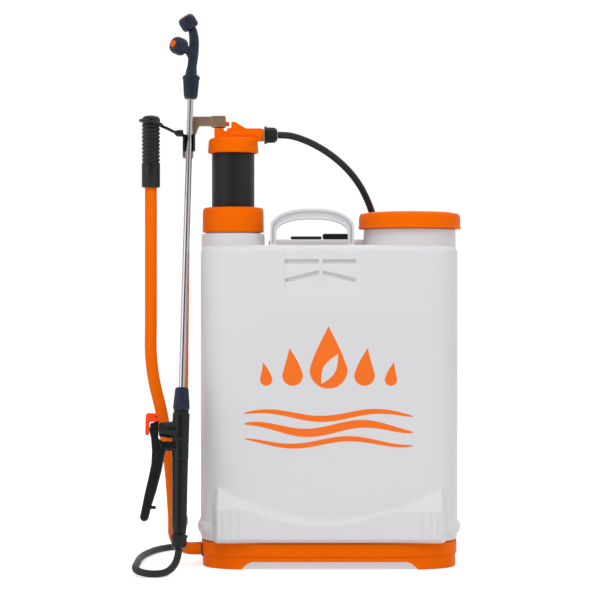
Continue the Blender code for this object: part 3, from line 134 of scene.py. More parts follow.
class Groups:
    """Builds each shared node group once."""

    def __init__(self) -> None:
        """Start with no groups."""
        self.made: dict[Effect, Tree] = {}

    def get(self, effect: Effect) -> Tree:
        """Return a group, built on its first use.

        Args:
            effect: which group.

        Returns:
            The node tree.
        """
        if effect not in self.made:
            makers = {Effect.GRAIN: self.grain, Effect.EDGES: self.edges,
                      Effect.DRAWN: self.drawn, Effect.WEAVE: self.weave}
            self.made[effect] = makers[effect]()
        return self.made[effect]

    def start(self, effect: Effect, inputs: Sequence[tuple[str, Socket, object]],
              outputs: Sequence[tuple[str, Socket]]) -> tuple[Tree, object, object]:
        """Return an empty group with its sockets.

        Args:
            effect: which group it becomes.
            inputs: name, socket kind and first value of each input.
            outputs: name and socket kind of each output.

        Returns:
            The node tree, the sockets that bring its values in, and those that take its results.
        """
        tree = bpy.data.node_groups.new(effect.value, "ShaderNodeTree")
        for name, kind, value in inputs:
            socket = tree.interface.new_socket(name, in_out="INPUT", socket_type=kind.value)
            socket.default_value = value
        for name, kind in outputs:
            tree.interface.new_socket(name, in_out="OUTPUT", socket_type=kind.value)
        given = tree.nodes.new("NodeGroupInput").outputs
        return tree, given, tree.nodes.new("NodeGroupOutput").inputs

    def noise(self, tree: Tree, scale: object, detail: float,
              stretch: Point3 = (1, 1, 1)) -> object:
        """Add a noise texture on object coordinates.

        Args:
            tree: the group that it goes into.
            scale: a number, or the socket that gives it.
            detail: how many finer layers it has.
            stretch: how much the coordinates are scaled along each axis.

        Returns:
            The noise's value socket.
        """
        place = tree.nodes.new("ShaderNodeTexCoord")
        scaled = tree.nodes.new("ShaderNodeVectorMath")
        scaled.operation = "MULTIPLY"
        scaled.inputs[1].default_value = stretch
        tree.links.new(place.outputs["Object"], scaled.inputs[0])
        texture = tree.nodes.new("ShaderNodeTexNoise")
        texture.inputs["Detail"].default_value = detail
        tree.links.new(scaled.outputs[0], texture.inputs["Vector"])
        if isinstance(scale, (int, float)):
            texture.inputs["Scale"].default_value = scale
        else:
            tree.links.new(scale, texture.inputs["Scale"])
        return texture.outputs["Fac"]

    def calc(self, tree: Tree, operation: str, first: object, second: object,
             third: object = None) -> object:
        """Add a math node.

        Args:
            tree: the group that it goes into.
            operation: Blender's name of the sum.
            first: a number or a socket.
            second: a number or a socket.
            third: a number or a socket, where the sum takes three.

        Returns:
            The value socket.
        """
        node = tree.nodes.new("ShaderNodeMath")
        node.operation = operation
        for place, value in enumerate((first, second, third)):
            if value is None:
                continue
            if isinstance(value, (int, float)):
                node.inputs[place].default_value = value
            else:
                tree.links.new(value, node.inputs[place])
        return node.outputs[0]

    def mix(self, tree: Tree, share: object, first: object, second: object) -> object:
        """Add a colour mix.

        Args:
            tree: the group that it goes into.
            share: the socket that says how much of the second colour shows.
            first: a colour or a socket.
            second: a colour or a socket.

        Returns:
            The colour socket.
        """
        node = tree.nodes.new("ShaderNodeMix")
        node.data_type = "RGBA"
        tree.links.new(share, node.inputs[0])
        for place, value in ((6, first), (7, second)):
            if isinstance(value, tuple):
                node.inputs[place].default_value = value
            else:
                tree.links.new(value, node.inputs[place])
        return node.outputs[2]

    def grain(self) -> Tree:
        """Return the group for a moulded skin: slow colour drift, uneven gloss and a fine orange peel."""
        inputs = [("Colour", Socket.COLOUR, (1, 1, 1, 1)), ("Shade", Socket.COLOUR, (0.8, 0.8, 0.8, 1)),
                  ("Drift", Socket.VALUE, 0.3), ("Gloss", Socket.VALUE, 0.4), ("Swing", Socket.VALUE, 0.1),
                  ("Scale", Socket.VALUE, 900.0)]
        outputs = [("Colour", Socket.COLOUR), ("Roughness", Socket.VALUE), ("Height", Socket.VALUE)]
        tree, given, out = self.start(Effect.GRAIN, inputs, outputs)
        slow = self.noise(tree, 14.0, 3.0)
        share = self.calc(tree, "MULTIPLY", slow, given["Drift"])
        tree.links.new(self.mix(tree, share, given["Colour"], given["Shade"]), out["Colour"])
        smear = self.noise(tree, 55.0, 4.0)
        swing = self.calc(tree, "MULTIPLY_ADD", smear, given["Swing"], given["Gloss"])
        tree.links.new(swing, out["Roughness"])
        tree.links.new(self.noise(tree, given["Scale"], 2.0), out["Height"])
        return tree

    def edges(self) -> Tree:
        """Return the group that lightens rubbed edges."""
        inputs = [("Colour", Socket.COLOUR, (1, 1, 1, 1)), ("Rubbed", Socket.COLOUR, (1, 1, 1, 1)),
                  ("Amount", Socket.VALUE, 0.3)]
        tree, given, out = self.start(Effect.EDGES, inputs, [("Colour", Socket.COLOUR)])
        shape = tree.nodes.new("ShaderNodeNewGeometry")
        over = self.calc(tree, "SUBTRACT", shape.outputs["Pointiness"], SHARP_FROM)
        sharp = self.calc(tree, "MULTIPLY", over, SHARP_GAIN)
        broken = self.calc(tree, "MULTIPLY", sharp, self.noise(tree, 160.0, 4.0))
        scaled = self.calc(tree, "MULTIPLY", broken, given["Amount"])
        mask = tree.nodes.new("ShaderNodeClamp")
        tree.links.new(scaled, mask.inputs[0])
        tree.links.new(self.mix(tree, mask.outputs[0], given["Colour"], given["Rubbed"]), out["Colour"])
        return tree

    def drawn(self) -> Tree:
        """Return the group for drawn or brushed metal, with fine lines along the piece's length."""
        inputs = [("Gloss", Socket.VALUE, 0.2), ("Swing", Socket.VALUE, 0.15)]
        outputs = [("Roughness", Socket.VALUE), ("Height", Socket.VALUE)]
        tree, given, out = self.start(Effect.DRAWN, inputs, outputs)
        lines = self.noise(tree, 900.0, 3.0, (1.0, 1.0, 0.02))
        swing = self.calc(tree, "MULTIPLY_ADD", lines, given["Swing"], given["Gloss"])
        tree.links.new(swing, out["Roughness"])
        tree.links.new(lines, out["Height"])
        return tree

    def weave(self) -> Tree:
        """Return the group for flat webbing: slanted ribs across the strap and single threads in them, with
        painted shade that darkens the low gaps between the threads.
        """
        inputs = [("Thread", Socket.COLOUR, (0.02, 0.02, 0.02, 1)),
                  ("Painted gap shade", Socket.COLOUR, (0.004, 0.004, 0.004, 1)), ("Pitch", Socket.VALUE, 420.0)]
        outputs = [("Colour", Socket.COLOUR), ("Height", Socket.VALUE)]
        tree, given, out = self.start(Effect.WEAVE, inputs, outputs)
        place = tree.nodes.new("ShaderNodeTexCoord")
        ribs = []
        for direction in ("X", "Z"):
            wave = tree.nodes.new("ShaderNodeTexWave")
            wave.bands_direction = direction
            wave.inputs["Distortion"].default_value = 0.6
            tree.links.new(place.outputs["Object"], wave.inputs["Vector"])
            tree.links.new(given["Pitch"], wave.inputs["Scale"])
            ribs.append(wave.outputs["Fac"])
        height = self.calc(tree, "MULTIPLY", ribs[0], ribs[1])
        # Painted shade: the low parts between the threads get the darker gap colour.
        tree.links.new(self.mix(tree, height, given["Painted gap shade"], given["Thread"]), out["Colour"])
        tree.links.new(height, out["Height"])
        return tree


GROUPS = Groups()


@dataclass(frozen=True)
class Finish:
    """One finish: its colour, how it shines, and how its surface is broken up."""

    name: str
    colour: str
    shade: str
    surface: Surface
    slot: str
    gloss: float = 0.42
    swing: float = 0.12
    drift: float = 0.35
    bump: float = 0.05
    scale: float = 900.0
    rubbed: str = "#FFFFFF"
    wear: float = 0.0
    shine: float = 0.5

    def material(self) -> bpy.types.Material:
        """Return the material, built once and then shared."""
        made = bpy.data.materials.get(self.name)
        if made:
            return made
        made = bpy.data.materials.new(self.name)
        made.use_nodes = True
        tree = made.node_tree
        shader = tree.nodes["Principled BSDF"]
        shader.inputs["Metallic"].default_value = float(self.surface in (Surface.DRAWN, Surface.CAST))
        shader.inputs["Specular IOR Level"].default_value = self.shine
        bump = tree.nodes.new("ShaderNodeBump")
        bump.inputs["Strength"].default_value = self.bump
        bump.inputs["Distance"].default_value = GRAIN_DEPTH
        tree.links.new(bump.outputs[0], shader.inputs["Normal"])
        if self.surface is Surface.WOVEN:
            self.weave(tree, shader, bump)
        else:
            self.skin(tree, shader, bump)
        return made

    def place(self, tree: Tree, effect: Effect) -> bpy.types.ShaderNodeGroup:
        """Place a shared group in this material.

        Args:
            tree: the material's node tree.
            effect: which group.

        Returns:
            The group node.
        """
        node = tree.nodes.new("ShaderNodeGroup")
        node.node_tree = GROUPS.get(effect)
        return node

    def skin(self, tree: Tree, shader: object, bump: object) -> None:
        """Join the grain, edge and drawn-metal groups to the shader.

        Args:
            tree: the material's node tree.
            shader: the Principled shader.
            bump: the bump node that feeds its normal.
        """
        grain = self.place(tree, Effect.GRAIN)
        values = {"Colour": linear(self.colour), "Shade": linear(self.shade), "Drift": self.drift,
                  "Gloss": self.gloss, "Swing": self.swing, "Scale": self.scale}
        for name, value in values.items():
            grain.inputs[name].default_value = value
        colour = grain.outputs["Colour"]
        if self.wear:
            edges = self.place(tree, Effect.EDGES)
            edges.inputs["Rubbed"].default_value = linear(self.rubbed)
            edges.inputs["Amount"].default_value = self.wear
            tree.links.new(colour, edges.inputs["Colour"])
            colour = edges.outputs["Colour"]
        tree.links.new(colour, shader.inputs["Base Color"])
        source = grain
        if self.surface is Surface.DRAWN:
            source = self.place(tree, Effect.DRAWN)
            source.inputs["Gloss"].default_value = self.gloss
            source.inputs["Swing"].default_value = self.swing
        tree.links.new(source.outputs["Roughness"], shader.inputs["Roughness"])
        tree.links.new(source.outputs["Height"], bump.inputs["Height"])

    def weave(self, tree: Tree, shader: object, bump: object) -> None:
        """Join the webbing group to the shader.

        Args:
            tree: the material's node tree.
            shader: the Principled shader.
            bump: the bump node that feeds its normal.
        """
        cloth = self.place(tree, Effect.WEAVE)
        cloth.inputs["Thread"].default_value = linear(self.colour)
        # The finish's second colour is painted shade for the gaps between the threads.
        cloth.inputs["Painted gap shade"].default_value = linear(self.shade)
        cloth.inputs["Pitch"].default_value = self.scale
        shader.inputs["Roughness"].default_value = self.gloss
        shader.inputs["Sheen Weight"].default_value = WEBBING_SHEEN
        tree.links.new(cloth.outputs["Colour"], shader.inputs["Base Color"])
        tree.links.new(cloth.outputs["Height"], bump.inputs["Height"])


TANK_WHITE = Finish("tank_white", "#E0E0E2", "#D4D4D8", Surface.MOULDED, "white", 0.38, 0.12, 0.4, 0.05,
                    700.0, shine=0.35)
ORANGE = Finish("orange_plastic", "#F86C00", "#EE6400", Surface.MOULDED, "orange", 0.36, 0.14, 0.4, 0.04,
                rubbed="#FF9030", wear=0.2, shine=0.04)
BLACK = Finish("black_plastic", "#141717", "#0D1010", Surface.MOULDED, "black", 0.32, 0.16, 0.5, 0.08,
               rubbed="#343A3A", wear=0.4, shine=0.25)
NAVY = Finish("navy_plastic", "#1D2639", "#141B2A", Surface.MOULDED, "navy", 0.36, 0.14, 0.5, 0.06,
              rubbed="#46526A", wear=0.4, shine=0.25)
LOCK_RED = Finish("lock_red", "#FF4508", "#F03A00", Surface.MOULDED, "red", 0.34, 0.12, 0.4, 0.04, shine=0.3)
RUBBER = Finish("black_rubber", "#141616", "#0D0F0F", Surface.SOFT, "rubber", 0.3, 0.14, 0.5, 0.08, 1200.0,
                shine=0.3)
HOSE_BLACK = Finish("hose_black", "#262B29", "#1B201E", Surface.SOFT, "hose_rubber", 0.5, 0.16, 0.5, 0.08,
                    shine=0.25)
CHROME = Finish("lance_chrome", "#BCB8BE", "#B0ACB3", Surface.DRAWN, "chrome", 0.16, 0.04, 0.3, 0.0)
STEEL = Finish("plain_steel", "#B4B5B7", "#98999C", Surface.DRAWN, "steel", 0.3, 0.15, 0.5, 0.03)
PAINT = Finish("tube_paint", "#F86C00", "#EE6400", Surface.PAINTED, "orange_paint", 0.28, 0.1, 0.4, 0.03,
               500.0, rubbed="#FF9030", wear=0.2, shine=0.06)
CAST = Finish("cast_taupe", "#A8927A", "#846F58", Surface.CAST, "cast", 0.42, 0.2, 0.8, 0.25, 600.0,
              rubbed="#C4B8A4", wear=0.5)
# The second colour is painted shade in the gaps between the threads, not a second dye.
WEBBING = Finish("black_webbing", "#202123", "#0B0B0C", Surface.WOVEN, "webbing", 0.85, bump=0.6, scale=420.0)
PRINT = Finish("orange_print", "#FA741A", "#F46C10", Surface.MOULDED, "white", 0.4, 0.1, 0.3, 0.02, shine=0.3)
FILM = Finish("label_film", "#DEDEE1", "#D6D6DA", Surface.MOULDED, "white", 0.26, 0.06, 0.3, 0.01, shine=0.4)
CHAMBER = Finish("chamber_black", "#202221", "#171818", Surface.MOULDED, "black", 0.4, 0.12, 0.5, 0.05,
                 shine=0.2)


def mesh_object(name: str, points: Sequence[Point3], faces: Sequence[Sequence[int]]) -> Piece:
    """Make an object from points and faces.

    Args:
        name: the piece's name.
        points: vertex positions.
        faces: vertex numbers of each face.

    Returns:
        The new object, linked to the scene.
    """
    mesh = bpy.data.meshes.new(name)
    mesh.from_pydata([tuple(point) for point in points], [], [list(face) for face in faces])
    shape = bmesh.new()
    shape.from_mesh(mesh)
    bmesh.ops.remove_doubles(shape, verts=shape.verts, dist=1e-6)
    bmesh.ops.recalc_face_normals(shape, faces=shape.faces)
    shape.to_mesh(mesh)
    shape.free()
    made = bpy.data.objects.new(name, mesh)
    bpy.context.scene.collection.objects.link(made)
    return made


def in_mm(points: Sequence[Point2]) -> list[Point2]:
    """Turn points that are given in millimetres into metres."""
    return [(a * MM, b * MM) for a, b in points]


def beside(place: float) -> Matrix:
    """Return the shift to a place along X."""
    return Matrix.Translation((place, 0, 0))


def along_x(place: Sequence[float]) -> Matrix:
    """Return the frame at a place whose own Z runs along X."""
    return Matrix.Translation(place) @ Matrix.Rotation(math.pi / 2, 4, "Y")


def ringed(name: str, points: Sequence[Point3], count: int) -> Piece:
    """Join rows of points into a closed skin with flat ends.

    Args:
        name: the piece's name.
        points: the points of all rows, one row after the other.
        count: how many points a row has.

    Returns:
        The skin.
    """
    rows = len(points) // count
    faces: list[list[int]] = []
    for row in range(rows - 1):
        low, high = row * count, (row + 1) * count
        faces += [[low + step, low + (step + 1) % count, high + (step + 1) % count, high + step]
                  for step in range(count)]
    faces.append(list(range(count))[::-1])
    faces.append([(rows - 1) * count + step for step in range(count)])
    return mesh_object(name, points, faces)


def fillet(profile: Sequence[Point2], radius: float, steps: int = 4, closed: bool = False) -> list[Point2]:
    """Round the corners of a line in a plane.

    Args:
        profile: the corners.
        radius: the rounding, limited by the sides that meet at each corner.
        steps: how many pieces a rounded corner has.
        closed: whether the last corner joins the first.

    Returns:
        The rounded line.
    """
    corners = [Vector(corner) for corner in profile]
    count = len(corners)
    made: list[Point2] = []
    for index, corner in enumerate(corners):
        if not closed and index in (0, count - 1):
            made.append(tuple(corner))
            continue
        before = corners[index - 1] - corner
        after = corners[(index + 1) % count] - corner
        reach = min(radius, 0.48 * before.length, 0.48 * after.length)
        start = corner + before.normalized() * reach
        end = corner + after.normalized() * reach
        for step in range(steps + 1):
            t = step / steps
            made.append(tuple(start * (1 - t) ** 2 + corner * 2 * t * (1 - t) + end * t ** 2))
    return made


def bar(radius: float, low: float, high: float) -> list[Point2]:
    """Return the profile of a plain round bar, for lathe."""
    return [(0, low), (radius, low), (radius, high), (0, high)]


def lathe(name: str, profile: Sequence[Point2], steps: int = 72, closed: bool = False,
          shape: Shape | None = None, at: Matrix | None = None) -> Piece:
    """Turn a profile about Z.

    Args:
        name: the piece's name.
        profile: radius and height of each point, which start and end on the axis in an open one.
        steps: how many sides the turned piece has.
        closed: whether the profile is a closed loop.
        shape: gives the radius at a radius, height and angle, for ribs and flats.
        at: where the turned piece is put.

    Returns:
        The turned piece.
    """
    points: list[Point3] = []
    for step in range(steps):
        angle = 2 * math.pi * step / steps
        for radius, height in profile:
            reach = shape(radius, height, angle) if shape else radius
            points.append((reach * math.cos(angle), reach * math.sin(angle), height))
    rows = len(profile)
    faces: list[list[int]] = []
    last = rows if closed else rows - 1
    for step in range(steps):
        here, there = step * rows, ((step + 1) % steps) * rows
        for row in range(last):
            after = (row + 1) % rows
            faces.append([here + row, there + row, there + after, here + after])
    made = mesh_object(name, points, faces)
    tidy = bmesh.new()
    tidy.from_mesh(made.data)
    bmesh.ops.dissolve_degenerate(tidy, dist=1e-7, edges=tidy.edges)
    tidy.to_mesh(made.data)
    tidy.free()
    if at:
        made.data.transform(at)
    return made


def sweep(name: str, line: Sequence[Sequence[float]], radius: float | Sequence[float], sides: int = 20,
          flat: float = 1.0, hint: Point3 = (0, 1, 0)) -> Piece:
    """Sweep a round or oval section along a line, with closed ends.

    Args:
        name: the piece's name.
        line: the points of the line.
        radius: one radius, or one for each point.
        sides: how many sides the section has.
        flat: how thick the section is against its width.
        hint: the direction that the section's width starts from.

    Returns:
        The swept piece.
    """
    path = [Vector(point) for point in line]
    radii = [radius] * len(path) if isinstance(radius, (int, float)) else list(radius)
    points: list[Point3] = []
    across = Vector(hint)
    for index, point in enumerate(path):
        run = (path[min(index + 1, len(path) - 1)] - path[max(index - 1, 0)]).normalized()
        across = (across - run * across.dot(run)).normalized()
        up = run.cross(across)
        for side in range(sides):
            angle = 2 * math.pi * side / sides
            offset = across * math.cos(angle) + up * math.sin(angle) * flat
            points.append(tuple(point + offset * radii[index]))
    return ringed(name, points, sides)


def smooth_line(points: Sequence[Sequence[float]], count: int) -> list[Vector]:
    """Run a smooth line through points.

    Args:
        points: the points that it passes.
        count: how many steps there are between two of them.

    Returns:
        The points of the smooth line.
    """
    given = [Vector(point) for point in points]
    ends = [2 * given[0] - given[1]] + given + [2 * given[-1] - given[-2]]
    made: list[Vector] = []
    for start in range(len(given) - 1):
        a, b, c, d = ends[start:start + 4]
        for step in range(count):
            t = step / count
            made.append(0.5 * (2 * b + (c - a) * t + (2 * a - 5 * b + 4 * c - d) * t * t
                               + (3 * b - a - 3 * c + d) * t ** 3))
    made.append(given[-1])
    return made


def prism(name: str, outline: Sequence[Point2], low: float, high: float, axis: str = "Y") -> Piece:
    """Extrude a flat outline.

    Args:
        name: the piece's name.
        outline: the corners, as X and Z for axis Y, Y and Z for axis X, or X and Y for axis Z.
        low: where the extrusion starts.
        high: where it ends.
        axis: the direction of the extrusion.

    Returns:
        The extruded piece.
    """
    order = {"X": (2, 0, 1), "Y": (0, 2, 1), "Z": (0, 1, 2)}[axis]
    count = len(outline)
    points = [tuple((a, b, level)[place] for place in order) for level in (low, high) for a, b in outline]
    faces = [list(range(count)), [count + index for index in range(count)]]
    for index in range(count):
        after = (index + 1) % count
        faces.append([index, after, count + after, count + index])
    return mesh_object(name, points, faces)


def plate(name: str, corners: Sequence[Point2], rounding: float, low: float, high: float,
          axis: str = "Y") -> Piece:
    """Extrude an outline with rounded corners, all in millimetres.

    Args:
        name: the piece's name.
        corners: the corners of the outline.
        rounding: how far the corners are rounded.
        low: where the extrusion starts.
        high: where it ends.
        axis: the direction of the extrusion.

    Returns:
        The plate.
    """
    return prism(name, fillet(in_mm(corners), rounding * MM, 4, True), low * MM, high * MM, axis)


def block(name: str, low: Point3, high: Point3) -> Piece:
    """Make a box between two corners, as a start for a moulded or bevelled piece.

    Args:
        name: the piece's name.
        low: the lowest corner, in millimetres.
        high: the highest corner, in millimetres.

    Returns:
        The box.
    """
    outline = [(low[0], low[1]), (high[0], low[1]), (high[0], high[1]), (low[0], high[1])]
    return prism(name, in_mm(outline), low[2] * MM, high[2] * MM, "Z")


def bake(obj: Piece) -> Piece:
    """Apply an object's modifiers to its mesh.

    Args:
        obj: the object.

    Returns:
        The same object.
    """
    bpy.context.view_layer.update()
    depsgraph = bpy.context.evaluated_depsgraph_get()
    mesh = bpy.data.meshes.new_from_object(obj.evaluated_get(depsgraph))
    old = obj.data
    obj.modifiers.clear()
    obj.data = mesh
    bpy.data.meshes.remove(old)
    return obj


def round_edges(obj: Piece, width: float, segments: int, angle: float) -> None:
    """Give an object a modifier that rounds its sharp edges.

    Args:
        obj: the object.
        width: how far the rounding reaches.
        segments: how many pieces it has.
        angle: the least angle of an edge that is rounded, in degrees.
    """
    step = obj.modifiers.new("round", "BEVEL")
    step.width = width
    step.segments = segments
    step.limit_method = "ANGLE"
    step.angle_limit = math.radians(angle)


def bevel(obj: Piece, width: float, segments: int = 3, angle: float = 35) -> Piece:
    """Round an object's sharp edges for good and return it."""
    round_edges(obj, width, segments, angle)
    return bake(obj)


def combine(obj: Piece, tool: Piece, operation: str) -> None:
    """Cut an object with another, or keep what they share, and delete the other.

    Args:
        obj: the object that stays.
        tool: the other one.
        operation: Blender's name for what is done.
    """
    step = obj.modifiers.new("combine", "BOOLEAN")
    step.operation = operation
    step.object = tool
    step.solver = "EXACT"
    bake(obj)
    bpy.data.objects.remove(tool, do_unlink=True)


def cut(obj: Piece, *tools: Piece) -> Piece:
    """Cut other shapes out of an object, and delete them.

    Args:
        obj: the object.
        tools: the shapes that are cut out.

    Returns:
        The same object.
    """
    for tool in tools:
        combine(obj, tool, "DIFFERENCE")
    return obj


def merge(name: str, pieces: Sequence[Piece]) -> Piece:
    """Put several meshes into one object.

    Args:
        name: the new piece's name.
        pieces: the objects that go into it.

    Returns:
        The new object.
    """
    shape = bmesh.new()
    for piece in pieces:
        shape.from_mesh(piece.data)
        bpy.data.objects.remove(piece, do_unlink=True)
    mesh = bpy.data.meshes.new(name)
    shape.to_mesh(mesh)
    shape.free()
    made = bpy.data.objects.new(name, mesh)
    bpy.context.scene.collection.objects.link(made)
    return made


def moulded(name: str, pieces: Sequence[Piece], grid: float, soften: int = 4) -> Piece:
    """Flow overlapping closed shapes into one moulding with soft inner corners.

    Args:
        name: the new piece's name.
        pieces: the shapes.
        grid: the size of the grid that they are rebuilt on.
        soften: how many rounds of smoothing follow.

    Returns:
        The moulding.
    """
    made = merge(name, pieces)
    remesh = made.modifiers.new("flow", "REMESH")
    remesh.mode = "VOXEL"
    remesh.voxel_size = grid
    relax = made.modifiers.new("relax", "SMOOTH")
    relax.factor = 0.5
    relax.iterations = soften
    return bake(made)


@dataclass
class Workshop:
    """Finishes pieces and fits them to the frame that was loaded."""

    frame: dict

    def fit(self, obj: Piece, finish: Finish, body: str, nodes: Sequence[str] = (),
            matrix: Matrix | None = None, crease: float = 40) -> None:
        """Put a piece in place, dress it and hang it on its body.

        Args:
            obj: the piece.
            finish: what it is made of.
            body: the body that it moves with.
            nodes: the CAD nodes that it stands for.
            matrix: where the piece's own frame lies, in tank coordinates.
            crease: the least angle of an edge that stays sharp, in degrees.
        """
        obj.data.transform(SHIFT @ matrix if matrix else SHIFT)
        obj.data.materials.clear()
        obj.data.materials.append(finish.material())
        obj.data.shade_smooth()
        obj.data.set_sharp_from_angle(angle=math.radians(crease))
        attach(obj, body)
        if nodes:
            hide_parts(*nodes)
        log.info("%s rides on %s, %d faces", obj.name, body, len(obj.data.polygons))

    def dress(self, node: str, finish: Finish, rounding: float = 0.0) -> None:
        """Give a CAD node that stays its finish.

        Args:
            node: the node's name.
            finish: what it is made of.
            rounding: how far its sharp edges are rounded.
        """
        obj = self.frame["nodes"][node]
        obj.data.materials.clear()
        obj.data.materials.append(finish.material())
        if rounding:
            weld = obj.modifiers.new("weld", "WELD")
            weld.merge_threshold = 1e-5
            round_edges(obj, rounding, 2, 40)
        log.info("%s dressed as %s", node, finish.name)


def smooth_low(first: np.ndarray, second: np.ndarray, blend: float) -> np.ndarray:
    """Take the lower of two surfaces, with a soft corner between them.

    Args:
        first: heights of one surface.
        second: heights of the other.
        blend: how wide the corner is.

    Returns:
        The joined heights.
    """
    near = np.maximum(blend - np.abs(first - second), 0) / blend
    return np.minimum(first, second) - near ** 2 * blend / 4


def ease(values: np.ndarray, low: float, high: float) -> np.ndarray:
    """Go softly from 0 at low to 1 at high."""
    share = np.clip((values - low) / (high - low), 0, 1)
    return share * share * (3 - 2 * share)


@dataclass(frozen=True)
class TankSizes:
    """Main sizes of the tank."""

    half_width: float = 159 * MM
    half_depth: float = 85 * MM
    power: float = 4.2
    hollow: float = 22 * MM
    bottom: float = 32.3 * MM
    top: float = 394 * MM
    rim: float = 9 * MM
    wall: float = 3 * MM
    bead: tuple[float, float, float, float] = (36 * MM, 60 * MM, 3.5 * MM, 12 * MM)
    bulge: float = 92 * MM
    bulge_half: float = 139 * MM
    bulge_low: float = 35 * MM
    brow: Point2 = (61.7 * MM, 101.6 * MM)
    bulge_line: tuple[Point2, ...] = ((-139, 74), (-103, 74), (-77, 65), (-46, 57.6), (-4, 54), (29, 57.6),
                                      (72, 69.6), (114, 72), (139, 72))
    flutes: tuple[float, ...] = (131.9 * MM, 121.6 * MM, 111.3 * MM)
    flute: float = 1.5 * MM
    flute_rise: tuple[Point2, Point2] = ((35 * MM, 38 * MM), (66 * MM, 71 * MM))
    panels: tuple[tuple[float, float, int], ...] = ((-54.6 * MM, -13.2 * MM, -1), (-8.7 * MM, 31.6 * MM, 1))
    panel_rise: Point2 = (326 * MM, 345 * MM)
    panel_dent: float = 0.9 * MM
    panel_edge: float = 0.6 * MM
    louvre_depth: float = 4.4 * MM
    louvre_top: float = 376.9 * MM
    louvre_from: Point2 = (362 * MM, 10 * MM)
    step_top: float = 363.4 * MM
    step_drop: float = 10 * MM
    step_from: Point2 = (331 * MM, 20 * MM)
    foot: float = 5 * MM
    deck: float = 370 * MM
    pump: float = -119.4 * MM
    pump_bore: float = 32.6 * MM
    filler: float = 101 * MM
    filler_bore: float = 51.5 * MM


